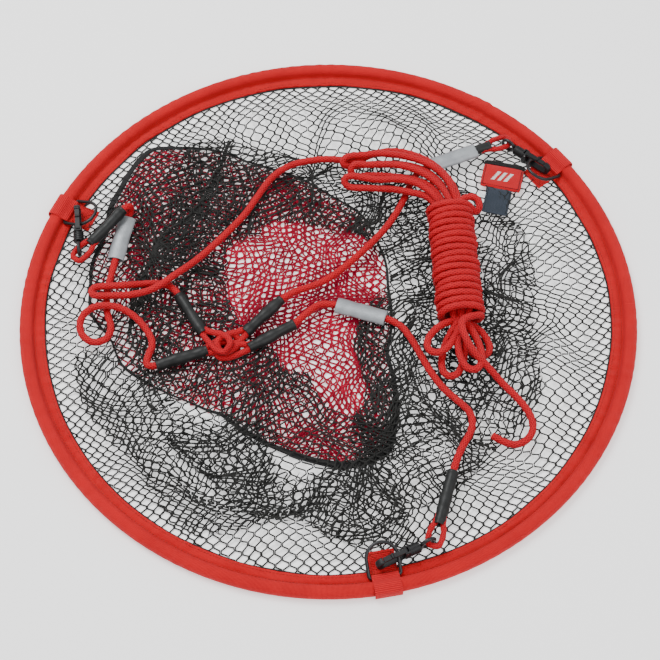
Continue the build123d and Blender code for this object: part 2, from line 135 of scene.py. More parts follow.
def frames_along(path):
    """Unit tangent, side and up at each point of a path, turned as little as possible."""
    path = np.asarray(path, float)
    tangent = np.gradient(path, axis=0)
    tangent /= np.linalg.norm(tangent, axis=1)[:, None] + 1e-12
    side = np.zeros_like(path)
    start = np.cross([0, 0, 1.0], tangent[0])
    if np.linalg.norm(start) < 1e-3:
        start = np.array([1.0, 0, 0])
    side[0] = start / np.linalg.norm(start)
    for i in range(1, len(path)):
        s = side[i - 1] - tangent[i] * np.dot(side[i - 1], tangent[i])
        side[i] = s / (np.linalg.norm(s) + 1e-12)
    return tangent, side, np.cross(tangent, side)


def lengths_along(path):
    steps = np.linalg.norm(np.diff(path, axis=0), axis=1)
    return np.concatenate([[0], np.cumsum(steps)])


def normalized(vectors):
    """Rows scaled to length 1."""
    return vectors / np.linalg.norm(vectors, axis=1)[:, None]


def unit(v):
    v = np.asarray(v, float)
    return v / np.linalg.norm(v)


def axes_at(bearing):
    """Outward and sideways directions at a bearing in radians."""
    c, s = math.cos(bearing), math.sin(bearing)
    return np.array([c, s, 0.0]), np.array([-s, c, 0.0])


def resample(path, step):
    path = np.asarray(path, float)
    s = lengths_along(path)
    count = max(3, int(round(s[-1] / step)) + 1)
    t = np.linspace(0, s[-1], count)
    return np.stack([np.interp(t, s, path[:, k]) for k in range(3)], 1)


def grid_faces(rows, columns, wrap):
    """Quads of a grid of rows by columns of points, wrapped round its columns if wanted."""
    last = columns if wrap else columns - 1
    i, j = np.meshgrid(np.arange(rows - 1), np.arange(last), indexing="ij")
    i, j = i.ravel(), j.ravel()
    k = (j + 1) % columns
    return np.stack([i * columns + j, i * columns + k, (i + 1) * columns + k, (i + 1) * columns + j], 1)


def grid_uvs(along, across, wrap):
    """Corner texture coordinates for grid_faces: u from along (rows), v from across (columns)."""
    rows, columns = len(along), len(across) - (1 if wrap else 0)
    last = columns if wrap else columns - 1
    i, j = np.meshgrid(np.arange(rows - 1), np.arange(last), indexing="ij")
    i, j = i.ravel(), j.ravel()
    corners = [(i, j), (i, j + 1), (i + 1, j + 1), (i + 1, j)]
    return np.stack([np.stack([along[a], across[b]], -1) for a, b in corners], 1)


def tube_arrays(path, radii, sides, relief=None):
    """Points, faces and texture coordinates of a tube. radii is a number or one per point."""
    path = np.asarray(path, float)
    _, side, up = frames_along(path)
    s = lengths_along(path)
    radii = np.broadcast_to(np.asarray(radii, float), (len(path),))
    angle = np.arange(sides) * 2 * math.pi / sides
    r = radii[:, None] + (relief(s[:, None], angle[None, :]) if relief else 0)
    ring = (
        path[:, None, :]
        + side[:, None, :] * (np.cos(angle)[None, :, None] * r[..., None])
        + up[:, None, :] * (np.sin(angle)[None, :, None] * r[..., None])
    )
    across = np.arange(sides + 1) / sides
    return ring.reshape(-1, 3), grid_faces(len(path), sides, True), grid_uvs(s, across, True)


def add_tube(soup, path, radii, sides, slot=0, relief=None, caps=True, cap_slot=None):
    verts, faces, uvs = tube_arrays(path, radii, sides, relief)
    soup.add(verts, faces, uvs, slot)
    if caps:
        for first, flip in ((0, True), (len(verts) - sides, False)):
            ring = verts[first : first + sides]
            path_end = np.asarray(path[0] if flip else path[-1], float)
            out = path_end - np.asarray(path[1] if flip else path[-2], float)
            out /= np.linalg.norm(out) + 1e-12
            bulge = np.linalg.norm(ring[0] - path_end) * 0.35
            middle = path_end + out * bulge
            inner = (ring - path_end) * 0.7 + path_end + out * bulge * 0.75
            points = np.concatenate([ring, inner, [middle]])
            shape = []
            for k in range(sides):
                n = (k + 1) % sides
                quad = [k, n, sides + n, sides + k]
                tri = [sides + k, sides + n, 2 * sides]
                shape += [quad[::-1], tri[::-1]] if flip else [quad, tri]
            flat = [c for f in shape for c in f]
            local = (points[flat] - path_end)[:, :2] * 20
            soup.add(points, shape, local, slot if cap_slot is None else cap_slot)


def nurbs_line(name, route, step):
    """Even points along the smooth curve whose control points are the route."""
    curve = bpy.data.curves.new(name + "_line", "CURVE")
    curve.dimensions = "3D"
    curve.resolution_u = 24
    spline = curve.splines.new("NURBS")
    spline.points.add(len(route) - 1)
    for point, place in zip(spline.points, route):
        point.co = (*place, 1.0)
    spline.order_u = 3
    spline.use_endpoint_u = True
    obj = bpy.data.objects.new(name + "_line", curve)
    bpy.context.scene.collection.objects.link(obj)
    mesh = bpy.data.meshes.new_from_object(obj)
    points = np.array([v.co for v in mesh.vertices], float)
    bpy.data.meshes.remove(mesh)
    bpy.data.objects.remove(obj)
    bpy.data.curves.remove(curve)
    keep = np.concatenate([[True], np.linalg.norm(np.diff(points, axis=0), axis=1) > 1e-6])
    return resample(points[keep], step)


# --- Materials ---


class Nodes:
    """A node material with a few shorthands."""

    def __init__(self, name):
        self.material = bpy.data.materials.new(name)
        self.material.use_nodes = True
        self.tree = self.material.node_tree
        self.shader = self.tree.nodes["Principled BSDF"]
        self.bump_in = None

    def add(self, kind, **settings):
        node = self.tree.nodes.new(kind)
        for key, value in settings.items():
            setattr(node, key, value)
        return node

    def link(self, out, socket):
        self.tree.links.new(out, socket)

    def math(self, operation, a, b=None):
        node = self.add("ShaderNodeMath", operation=operation)
        for socket, value in zip(node.inputs, (a, b)):
            if value is None:
                continue
            if isinstance(value, (int, float)):
                socket.default_value = value
            else:
                self.link(value, socket)
        return node.outputs[0]

    def uv(self):
        node = self.add("ShaderNodeUVMap", uv_map="UVMap")
        split = self.add("ShaderNodeSeparateXYZ")
        self.link(node.outputs[0], split.inputs[0])
        return split.outputs[0], split.outputs[1]

    def object_place(self):
        return self.add("ShaderNodeTexCoord").outputs["Object"]

    def noise(self, scale, detail=4.0, roughness=0.55, place=None):
        node = self.add("ShaderNodeTexNoise")
        node.inputs["Scale"].default_value = scale
        node.inputs["Detail"].default_value = detail
        node.inputs["Roughness"].default_value = roughness
        self.link(place or self.object_place(), node.inputs["Vector"])
        return node.outputs["Fac"]

    def ramp(self, factor, colours):
        node = self.add("ShaderNodeValToRGB")
        elements = node.color_ramp.elements
        while len(elements) < len(colours):
            elements.new(0.5)
        for element, (position, colour) in zip(elements, colours):
            element.position = position
            element.color = (*colour, 1.0)
        self.link(factor, node.inputs[0])
        return node.outputs[0]

    def spread(self, factor, low, high):
        node = self.add("ShaderNodeMapRange")
        node.inputs["To Min"].default_value = low
        node.inputs["To Max"].default_value = high
        self.link(factor, node.inputs["Value"])
        return node.outputs[0]

    def bump(self, height, strength, distance):
        node = self.add("ShaderNodeBump")
        node.inputs["Strength"].default_value = strength
        node.inputs["Distance"].default_value = distance
        self.link(height, node.inputs["Height"])
        if self.bump_in is not None:
            self.link(self.bump_in, node.inputs["Normal"])
        self.bump_in = node.outputs[0]
        self.link(self.bump_in, self.shader.inputs["Normal"])

    def tint(self, factor, colour, stops):
        """Base colour that runs through brightnesses of one colour, as (position, brightness)."""
        ramp = self.ramp(factor, [(position, shaded(colour, level)) for position, level in stops])
        self.link(ramp, self.shader.inputs["Base Color"])

    def roughness(self, factor, low, high):
        self.link(self.spread(factor, low, high), self.shader.inputs["Roughness"])

    def total(self, *terms):
        """Sum of (value, weight) pairs."""
        result, *others = [self.math("MULTIPLY", value, weight) for value, weight in terms]
        for other in others:
            result = self.math("ADD", result, other)
        return result

    def lifted(self, wave):
        """A wave of -1 to 1 as 0 to 1."""
        half = self.math("MULTIPLY_ADD", wave, 0.5)
        half.node.inputs[2].default_value = 0.5
        return half

    def set(self, **values):
        for key, value in values.items():
            self.shader.inputs[key.replace("_", " ")].default_value = value


def stripes(nodes, coordinate, pitch):
    """Waves from 0 to 1 along a coordinate in metres."""
    turned = nodes.math("MULTIPLY", coordinate, 2 * math.pi / pitch)
    return nodes.lifted(nodes.math("SINE", turned))


def shaded(colour, factor):
    return tuple(c * factor for c in colour)


def ribbed_fabric(name, colour, rib, cross, depth, sheen=0.04):
    """Grosgrain or webbing: ribs across the strip, a finer thread along it, with painted shade in the grooves
    between the ribs.
    """
    n = Nodes(name)
    u, v = n.uv()
    ribs = stripes(n, u, rib)
    threads = stripes(n, v, cross)
    weave = n.math("MULTIPLY", ribs, n.spread(threads, 0.55, 1.0))
    cloud = n.noise(38, 5)
    fine = n.noise(900, 3)
    mixed = n.total((weave, 0.65), (cloud, 0.35), (fine, 0.12))
    # Painted shade and light: the weave's grooves are painted darker and its ribs lighter; the cloud and fine
    # noise add uneven tone.
    n.tint(mixed, colour, [(0.15, 0.50), (0.5, 1), (0.9, 1.2)])
    n.roughness(cloud, 0.62, 0.86)
    n.bump(weave, 1.0, depth)
    n.bump(fine, 0.25, depth * 0.4)
    n.set(Sheen_Weight=sheen, Sheen_Roughness=0.45, Specular_IOR_Level=0.15)
    return n.material


def braided(name, colour):
    """Braided cord: crossing yarns, with painted shade between them and a painted highlight on their crowns.
    """
    n = Nodes(name)
    u, v = n.uv()
    round_it = n.math("MULTIPLY", v, 8 * 2 * math.pi)
    along = n.math("MULTIPLY", u, 2 * math.pi / 0.0042)
    first = n.math("COSINE", n.math("ADD", round_it, along))
    second = n.math("COSINE", n.math("SUBTRACT", round_it, along))
    plait = n.lifted(n.math("MAXIMUM", first, second))
    yarn_turn = n.math("ADD", n.math("MULTIPLY", v, 48 * 2 * math.pi), n.math("MULTIPLY", u, 9000.0))
    yarn = n.math("SINE", yarn_turn)
    cloud = n.noise(60, 4)
    mixed = n.total((plait, 0.7), (cloud, 0.35), (yarn, 0.04))
    # Painted shade and highlight: the plait's dips are painted dark and its crowns painted light; the cloud
    # adds uneven tone.
    n.tint(mixed, colour, [(0.18, 0.38), (0.62, 1), (0.98, 1.25)])
    n.roughness(cloud, 0.5, 0.75)
    n.bump(plait, 0.8, 0.0006)
    n.bump(yarn, 0.25, 0.00015)
    n.set(Sheen_Weight=0.05, Sheen_Roughness=0.4, Specular_IOR_Level=0.2)
    return n.material


def twine(name, colour, sheen):
    """Knotless netting: twisted filaments along each strand."""
    n = Nodes(name)
    u, v = n.uv()
    turn = n.math("ADD", n.math("MULTIPLY", v, 3 * 2 * math.pi), n.math("MULTIPLY", u, 2 * math.pi / 0.0022))
    twist = n.math("SINE", turn)
    cloud = n.noise(25, 4)
    mixed = n.math("ADD", n.math("MULTIPLY", twist, 0.16), cloud)
    n.tint(mixed, colour, [(0.3, 0.6), (0.55, 1), (0.85, 1.6)])
    n.roughness(cloud, 0.55, 0.8)
    n.bump(twist, 0.5, 0.0002)
    n.set(Sheen_Weight=sheen, Sheen_Roughness=0.5, Specular_IOR_Level=0.2)
    return n.material


def moulded(name, colour, rough, grain, bump):
    """Moulded plastic or heat-shrink: fine grain, slightly uneven gloss."""
    n = Nodes(name)
    cloud = n.noise(45, 4)
    fine = n.noise(grain, 5)
    mixed = n.total((cloud, 0.7), (fine, 0.3))
    n.tint(mixed, colour, [(0.3, 0.7), (0.5, 1), (0.75, 1.7)])
    n.roughness(mixed, rough - 0.1, rough + 0.14)
    n.bump(fine, 0.35, bump)
    n.set(Specular_IOR_Level=0.3)
    return n.material


def metal(name, colour, rough, metallic=1.0):
    n = Nodes(name)
    cloud = n.noise(70, 4)
    fine = n.noise(1600, 3)
    n.tint(cloud, colour, [(0.3, 0.75), (0.7, 1.15)])
    n.roughness(cloud, rough - 0.08, rough + 0.12)
    n.bump(fine, 0.2, 0.00005)
    n.set(Metallic=metallic)
    return n.material


def reflective(name, colour):
    """Retroreflective fabric: a fine bead grid, creased and a little glossy."""
    n = Nodes(name)
    u, v = n.uv()
    grid = n.math("MULTIPLY", stripes(n, u, 0.0012), stripes(n, v, 0.0012))
    cloud = n.noise(90, 5)
    crease = n.noise(260, 6, 0.7)
    mixed = n.total((cloud, 0.75), (grid, 0.25))
    n.tint(mixed, colour, [(0.25, 0.7), (0.55, 1), (0.85, 1.3)])
    n.roughness(crease, 0.3, 0.6)
    n.bump(grid, 0.3, 0.00015)
    n.bump(crease, 0.4, 0.0004)
    n.set(Metallic=0.35)
    return n.material


RED_RIM = (0.64, 0.009, 0.014)
RED_CORD = (0.45, 0.003, 0.010)
BLACK = (0.016, 0.016, 0.015)

M = {
    "rim": ribbed_fabric("rim_grosgrain", RED_RIM, 0.0011, 0.0007, 0.0005),
    "rim_thread": twine("rim_thread", (0.42, 0.02, 0.015), 0.1),
    "webbing": ribbed_fabric("webbing_red", (0.60, 0.010, 0.016), 0.0016, 0.0009, 0.0006),
    "tape": ribbed_fabric("tape_black", (0.02, 0.02, 0.021), 0.0013, 0.0008, 0.0004, 0.1),
    "net": twine("net_black", BLACK, 0.05),
    "net_red": twine("net_red", (0.33, 0.001, 0.022), 0.0),
    "cord": braided("cord_red", RED_CORD),
    "cord_end": moulded("cord_cut_end", (0.72, 0.40, 0.36), 0.55, 500, 0.0004),
    "plastic": moulded("clip_black", (0.008, 0.008, 0.009), 0.42, 1400, 0.00008),
    "shrink": moulded("heatshrink_black", (0.011, 0.012, 0.012), 0.45, 600, 0.00025),
    "ring": metal("ring_black", (0.03, 0.03, 0.032), 0.3, 0.6),
    "steel": metal("spring_steel", (0.55, 0.55, 0.56), 0.3),
    "grey": reflective("reflective_grey", (0.33, 0.35, 0.37)),
    "strap": ribbed_fabric("strap_red", (0.56, 0.008, 0.014), 0.0009, 0.0009, 0.0003, 0.15),
    "strap_mark": ribbed_fabric("strap_mark_pale", (0.72, 0.70, 0.68), 0.0009, 0.0009, 0.0002, 0.0),
    "hooks": ribbed_fabric("hook_tape_grey", (0.045, 0.058, 0.078), 0.0012, 0.0012, 0.0003, 0.1),
}

for node_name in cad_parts:
    kind = "plastic"
    if node_name.startswith("dring") or node_name.endswith("_eye"):
        kind = "ring"
    elif node_name.startswith("hoop") or node_name.endswith(("_pin", "_spring")):
        kind = "steel"
    node_materials = bpy.data.objects[node_name].data.materials
    node_materials.clear()
    node_materials.append(M[kind])


def done(obj, body, replaced=()):
    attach(obj, body)
    if replaced:
        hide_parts(*replaced)
    return obj


# --- Rim sleeve: a puckered tape folded over the hoop and sewn to the net ---

RIM_STEPS = 1200
STITCH_PITCH = 0.0031
SLEEVE_SEAM_DEG = 57  # where the sleeve's ends overlap
angle = np.arange(RIM_STEPS) * 2 * math.pi / RIM_STEPS
# The sleeve's section, as radius and height in mm, from the flange's edge round and back.
profile = np.array(
    [
        (276.2, 1.0), (278.5, 0.9), (281.5, 0.8), (284.5, 0.7), (286.8, 0.5), (289.0, 0.1), (292.0, 0.0),
        (295.0, 0.0), (297.6, 0.6), (299.3, 2.2), (299.9, 4.2), (299.9, 6.4), (299.4, 8.4), (298.0, 10.0),
        (296.0, 10.8), (293.5, 11.0), (291.0, 10.7), (289.0, 9.7), (287.7, 8.1), (287.1, 6.2), (286.9, 4.6),
        (286.5, 3.5), (285.9, 2.75), (285.2, 2.6), (284.4, 2.95), (283.2, 3.1), (281.5, 3.05), (279.8, 2.95),
        (278.6, 2.7), (277.9, 2.85), (277.0, 2.7), (276.2, 2.3), (275.9, 1.6),
    ]
) * MM
on_flange = smooth((0.2875 - profile[:, 0]) / 0.008)
lifted = smooth(profile[:, 1] / 0.003)
pucker = ring_noise(3, 110, 190, angle)
sway = ring_noise(4, 9, 31, angle)
slow = ring_noise(5, 3, 11, angle)
radius = profile[None, :, 0] + 0.0003 * sway[:, None] * on_flange[None, :]
radius = radius + (0.00010 * pucker[:, None] - 0.0004) * (1 - on_flange[None, :]) * lifted[None, :]
radius += 0.0005 * slow[:, None] * on_flange[None, :]
flange_waves = 0.00042 * pucker + 0.0007 * sway + 0.0006
height = profile[None, :, 1] + flange_waves[:, None] * (on_flange * lifted)[None, :]
height += 0.00012 * pucker[:, None] * ((1 - on_flange) * lifted)[None, :]
overlap = smooth((0.035 - np.abs(angle - math.radians(SLEEVE_SEAM_DEG))) / 0.004)
bulged = overlap[:, None] * lifted[None, :]
height += 0.0005 * bulged
radius += 0.0003 * bulged * (1 - on_flange[None, :])
verts = np.stack([radius * np.cos(angle)[:, None], radius * np.sin(angle)[:, None], height], -1)
rows, columns = verts.shape[:2]
grid = grid_faces(rows + 1, columns, True) % (rows * columns)
around = np.arange(rows + 1) * 2 * math.pi * RIM_R / RIM_STEPS
closed_profile = np.concatenate([profile, profile[:1]])
rim_uvs = grid_uvs(around, lengths_along(closed_profile), True)
rim = mesh_piece("rim_sleeve_fabric", verts.reshape(-1, 3), grid[:, ::-1], [M["rim"]], rim_uvs[:, ::-1])
done(rim, "hoop", ["rim_sleeve"])

stitches = Soup()
for row_r, column in ((0.28535, 23), (0.27825, 28)):  # radius and point of the profile
    count = int(2 * math.pi * row_r / STITCH_PITCH)
    for k in range(count):
        a = (k + 0.5) * 2 * math.pi / count
        half = 0.36 * 2 * math.pi / count
        index = int(round(a / (2 * math.pi) * RIM_STEPS)) % RIM_STEPS
        top = height[index, column] + 0.00012
        r = radius[index, column]
        path = []
        for t, dip in ((-1, -0.0006), (-0.7, 0.0), (0, 0.00016), (0.7, 0.0), (1, -0.0006)):
            path.append((r * math.cos(a + t * half), r * math.sin(a + t * half), top + dip))
        add_tube(stitches, path, 0.00032, 6)
done(stitches.piece("rim_stitching", [M["rim_thread"]]), "hoop")

edge = Soup()
edge_angle = np.linspace(0, 2 * math.pi, 721)
edge_r = 0.27545 + 0.0003 * ring_noise(4, 9, 31, edge_angle) + 0.0005 * ring_noise(5, 3, 11, edge_angle)
edge_path = np.stack([edge_r * np.cos(edge_angle), edge_r * np.sin(edge_angle), np.full(721, 0.0012)], 1)
add_tube(edge, edge_path, 0.0008, 8, caps=False)
done(edge.piece("rim_inner_cord", [M["net"]]), "hoop")


# --- Net ---

TWINE_R = 0.00080
RED_TWINE_R = 0.00092
TWINE_SIDES = 5
MEETING_GAP = 1.5  # twine radii left between neighbouring strands' lines where they meet
NET_REACH = 0.335  # half of the square that each layer's strands are laid over
HOLE_CENTRE = np.array([-0.020, 0.0])
# Outlines round HOLE_CENTRE, as bearing in degrees and radius in metres. No black net lies inside
# HOLE_EDGE. The wall is folded back as far as FOLD_EDGE, and a third time between the last two.
HOLE_EDGE = [
    (-175, 0.071), (-150, 0.060), (-129, 0.058), (-105, 0.066), (-88, 0.078), (-77, 0.112), (-70, 0.128),
    (-60, 0.108), (-48, 0.066), (-38, 0.050), (-15, 0.054), (5, 0.063), (22, 0.079), (32, 0.093),
    (52, 0.095), (76, 0.090), (104, 0.096), (128, 0.103), (147, 0.091), (165, 0.078),
]
FOLD_EDGE = [
    (-175, 0.176), (-160, 0.180), (-140, 0.186), (-120, 0.205), (-100, 0.228), (-80, 0.246), (-60, 0.243),
    (-45, 0.238), (-30, 0.238), (-15, 0.232), (0, 0.225), (25, 0.235), (45, 0.205), (60, 0.198), (80, 0.180),
    (100, 0.195), (120, 0.228), (140, 0.225), (155, 0.205), (170, 0.173),
]
UNDER_IN = [
    (-175, 0.120), (-80, 0.150), (-60, 0.105), (-30, 0.090), (0, 0.100), (30, 0.118), (50, 0.120),
    (65, 0.135), (105, 0.135), (120, 0.120), (145, 0.112), (165, 0.110),
]
UNDER_OUT = [
    (-175, 0.120), (-80, 0.150), (-60, 0.188), (-30, 0.205), (0, 0.192), (30, 0.200), (50, 0.172),
    (65, 0.135), (105, 0.135), (120, 0.198), (145, 0.200), (165, 0.140),
]
# Where the folded layer leaves the outer one alone: centre and half sizes.
CLEAR_PATCHES = [
    ((-0.016, -0.142), (0.038, 0.042)), ((-0.135, -0.120), (0.030, 0.018)),
    ((0.150, 0.060), (0.026, 0.030)), ((-0.235, 0.030), (0.020, 0.035)),
]
# The base's edge, as bearing from BASE_CENTRE and radius.
BASE_EDGE = [
    (-180, 0.146), (-150, 0.140), (-120, 0.135), (-95, 0.140), (-75, 0.185), (-62, 0.222), (-52, 0.232),
    (-42, 0.205), (-28, 0.160), (0, 0.148), (30, 0.146), (60, 0.140), (90, 0.150), (108, 0.178),
    (120, 0.190), (132, 0.180), (150, 0.152), (170, 0.148),
]


def outline_radius(table, turn, seed, wobble):
    """An outline's radius at bearings in radians, rounded between its listed points."""
    places = np.radians([a for a, _ in table])
    values = np.array([b for _, b in table])
    fine = np.linspace(-math.pi, math.pi, 721)[:-1]
    turns = np.concatenate([places - 2 * math.pi, places, places + 2 * math.pi])
    plain = np.interp(fine, turns, np.tile(values, 3))
    kernel = np.exp(-((np.arange(-8, 9) / 4.0) ** 2))
    wrapped = np.concatenate([plain[-8:], plain, plain[:8]])
    rounded = np.convolve(wrapped, kernel / kernel.sum(), "valid")
    turn = (np.asarray(turn) + math.pi) % (2 * math.pi) - math.pi
    found = np.interp(turn, np.append(fine, math.pi), np.append(rounded, rounded[0]))
    return found + wobble * ring_noise(seed, 5, 16, turn)


def polar(points, centre):
    d = points[:, :2] - centre[None, :]
    return np.hypot(d[:, 0], d[:, 1]), np.arctan2(d[:, 1], d[:, 0])


def from_middle(points):
    return np.hypot(points[:, 0], points[:, 1])


def on_layer_1(points):
    r, turn = polar(points, HOLE_CENTRE)
    return (from_middle(points) < 0.2800) & (r > outline_radius(HOLE_EDGE, turn, 41, 0.003))


def on_layer_2(points):
    r, turn = polar(points, HOLE_CENTRE)
    inside = r > outline_radius(HOLE_EDGE, turn, 41, 0.003)
    inside &= r < outline_radius(FOLD_EDGE, turn, 42, 0.005)
    for place, radii in CLEAR_PATCHES:
        distance, bearing = polar((points - np.array(place)) / np.array(radii), np.zeros(2))
        inside &= distance + 0.22 * np.sin(3 * bearing + place[0] * 90) > 1
    return inside & (from_middle(points) < 0.270)


def on_layer_3(points):
    r, turn = polar(points, HOLE_CENTRE)
    inside = r > outline_radius(UNDER_IN, turn, 43, 0.002)
    inside &= r < outline_radius(UNDER_OUT, turn, 44, 0.004)
    return inside & (from_middle(points) < 0.268)


def on_layer_4(points):
    """Slack net that lies over itself between the fold and the rim, on the near left."""
    r, turn = polar(points, np.zeros(2))
    inner = 0.160 + 0.018 * ring_noise(45, 4, 11, turn)
    outer = 0.252 + 0.010 * ring_noise(46, 4, 11, turn)
    return (r > inner) & (r < outer) & (turn > -2.95) & (turn < -1.25)


def base_edge(turn):
    r = outline_radius(BASE_EDGE, turn, 21, 0.002)
    return BASE_CENTRE[None, :] + np.stack([r * np.cos(turn), r * np.sin(turn)], 1)


def on_base(points):
    r, turn = polar(points, BASE_CENTRE)
    return r < outline_radius(BASE_EDGE, turn, 21, 0.002) + 0.002


def gathers(seed, count, pull, spread):
    """Creases that draw the net together: start, direction, length, pull and width of each."""
    rng = np.random.default_rng(seed)
    found = []
    for _ in range(count):
        turn = rng.uniform(0, 2 * math.pi)
        r = rng.uniform(0.09, 0.21)
        aim = turn + rng.normal(0, 0.55)
        place = np.array([-0.01 + r * math.cos(turn), r * math.sin(turn)])
        reach, drawn, wide = rng.uniform(0.03, 0.07), rng.uniform(0.5, 1.0), rng.uniform(0.6, 1.5)
        found.append((place, np.array([math.cos(aim), math.sin(aim)]), reach, pull * drawn, spread * wide))
    return found


def drawn_in(points, creases, held):
    """Moves points in the plane towards each crease, less near the rim, where the net is sewn."""
    moved = points.copy()
    for place, aim, reach, pull, spread in creases:
        across = np.array([-aim[1], aim[0]])
        d = moved - place[None, :]
        along = d @ aim
        off = d @ across
        near = np.exp(-((along / reach) ** 2)) * np.exp(-((off / spread) ** 2))
        moved -= (pull * off * near * held)[:, None] * across[None, :]
    return moved


def net_layer(inside, pitch, row, twist_deg, seed, level, relief, radius, creases, warp, parts):
    """Soups of twine: zigzag strands that meet their neighbours at every other row, clipped to a region."""
    drift_x, drift_y = Noise(seed, 0.16), Noise(seed + 1, 0.16)
    small_x, small_y = Noise(seed + 2, 0.045), Noise(seed + 3, 0.045)
    high, fine_high = Noise(seed + 4, 0.070), Noise(seed + 5, 0.024)
    columns, rows = int(2 * NET_REACH / pitch), int(2 * NET_REACH / row)
    twist = math.radians(twist_deg)
    k = np.arange(rows)
    soups = [Soup() for _ in range(parts)]
    for column in range(columns):
        sign = 1 if column % 2 == 0 else -1
        push = sign * np.where(k % 2 == 0, 0.5, -0.5) * (pitch - MEETING_GAP * radius)
        x = -NET_REACH + column * pitch + np.repeat(push, 2)
        y = -NET_REACH + np.repeat(k * row, 2) + np.tile([-0.25 * row, 0.25 * row], rows)
        turned_x = x * math.cos(twist) - y * math.sin(twist)
        turned_y = x * math.sin(twist) + y * math.cos(twist)
        plan = np.stack([turned_x, turned_y], 1)
        held = 1 - 0.75 * smooth((from_middle(plan) - 0.20) / 0.08)
        shift = np.stack([drift_x(*plan.T) * warp + small_x(*plan.T) * warp * 0.28,
                          drift_y(*plan.T) * warp + small_y(*plan.T) * warp * 0.28], 1)
        plan = drawn_in(plan + shift * held[:, None], creases, held)
        keep = inside(plan)
        down = smooth((from_middle(plan) - 0.235) / 0.038)
        z = level * (1 - down) + 0.0008 * down
        z = z + relief * (1 - down) * (high(*plan.T) + 0.5 * fine_high(*plan.T))
        z = z + sign * np.repeat(np.where(k % 2 == 0, 1, -1), 2) * radius * 0.35
        line = np.concatenate([plan, np.maximum(z, radius)[:, None]], 1)
        edges = np.flatnonzero(np.diff(np.concatenate([[0], keep.astype(int), [0]])))
        for begin, end in zip(edges[::2], edges[1::2]):
            if end - begin > 3:
                part = column * parts // columns
                sizes = np.full(end - begin, radius)
                sizes[[0, -1]] = radius * 0.1
                add_tube(soups[part], line[begin:end], sizes, TWINE_SIDES, caps=False)
    return soups


def points_of(obj):
    co = np.zeros(len(obj.data.vertices) * 3)
    obj.data.vertices.foreach_get("co", co)
    return co.reshape(-1, 3)


def blend_plan(obj):
    """Bakes a net piece's placement into its points and finds the middle of each ring of its strands.
    """
    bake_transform(obj)
    rings = points_of(obj).reshape(-1, TWINE_SIDES, 3).mean(1)


WALL_LAYERS = [
    # name, region, cell pitch, row, twist, seed, level, relief,
    # creases (seed, count, pull, spread), warp, parts
    ("outer", on_layer_1, 0.0058, 0.0056, 8, 110, 0.0060, 0.0009, (7, 38, 0.85, 0.015), 0.014, 3),
    ("folded", on_layer_2, 0.0045, 0.0058, -37, 130, 0.0042, 0.0006, (8, 32, 0.80, 0.015), 0.018, 2),
    ("under", on_layer_3, 0.0046, 0.0058, 61, 150, 0.0030, 0.0004, (9, 20, 0.75, 0.015), 0.018, 1),
    ("slack", on_layer_4, 0.0052, 0.0058, 24, 210, 0.0036, 0.0005, (12, 26, 0.75, 0.015), 0.016, 1),
]
wall_pieces = []
for label, region, pitch, row, twist, seed, level, relief, crease, warp, parts in WALL_LAYERS:
    soups = net_layer(region, pitch, row, twist, seed, level, relief, TWINE_R, gathers(*crease), warp, parts)
    for number, soup in enumerate(soups):
        piece = soup.piece(f"net_wall_{label}_{number + 1}", [M["net"]])
        blend_plan(piece)
        wall_pieces.append(piece)
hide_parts("net_wall")


def on_base_fold(points):
    """Where the base lies double."""
    r, turn = polar(points, BASE_CENTRE)
    inside = r < outline_radius(BASE_EDGE, turn, 21, 0.002) - 0.004
    return inside & (points[:, 0] + 0.35 * points[:, 1] > -0.19)


BASE_LAYERS = [
    # name, region, cell pitch, row, twist, seed, level
    ("lower", on_base, 0.0042, 0.0045, 21, 170, 0.0009),
    ("upper", on_base_fold, 0.0044, 0.0046, -28, 190, 0.0019),
]
base_pieces = []
for label, region, pitch, row, twist, seed, level in BASE_LAYERS:
    creases = gathers(seed, 12, 0.6, 0.016)
    soups = net_layer(region, pitch, row, twist, seed, level, 0.0002, RED_TWINE_R, creases, 0.012, 1)
    piece = soups[0].piece(f"net_base_{label}", [M["net_red"]])
    done(piece, "base", ["net_base"] if label == "lower" else [])
    base_pieces.append(piece)

# A tape's outline, as shares of half its width and of its thickness.
SOFT_TAPE = [(-1.0, 0.0), (-0.96, 0.5), (-0.5, 0.55), (0.0, 0.5), (0.5, 0.55), (0.96, 0.5), (1.0, 0.0)]
SOFT_TAPE += [(0.96, -0.5), (0.5, -0.5), (0.0, -0.5), (-0.5, -0.5), (-0.96, -0.5)]


def add_tape(soup, rows, line, section, half, thick, slot=0):
    """Adds the skin of a tape whose corner lines are the rows, and returns its points."""
    verts = np.stack(rows, 1)
    loop = np.array([*section, section[0]]) * [half, thick]
    uvs = grid_uvs(lengths_along(line), lengths_along(loop), True)
    soup.add(verts.reshape(-1, 3), grid_faces(len(line), len(section), True), uvs, slot)
    return verts


def flat_tape(soup, path, side, width, thick):
    """A flat tape along a path: side is its width's direction at each point."""
    half = np.asarray(width / 2).reshape(-1, 1)
    rows = [path + side * (a * half) + UP[None, :] * (b * thick) for a, b in SOFT_TAPE]
    add_tape(soup, rows, path, SOFT_TAPE, float(half.mean()), thick)


seam_turns = np.linspace(-math.pi, math.pi, 541)
seam = base_edge(seam_turns)
seam = np.concatenate([seam, np.full((len(seam), 1), 0.0026)], 1)
seam[:, 2] += 0.0003 * ring_noise(71, 6, 15, seam_turns)
tangent = np.gradient(seam, axis=0)
tangent[:, 2] = 0
seam_side = np.cross(normalized(tangent), UP)
seam_soup = Soup()
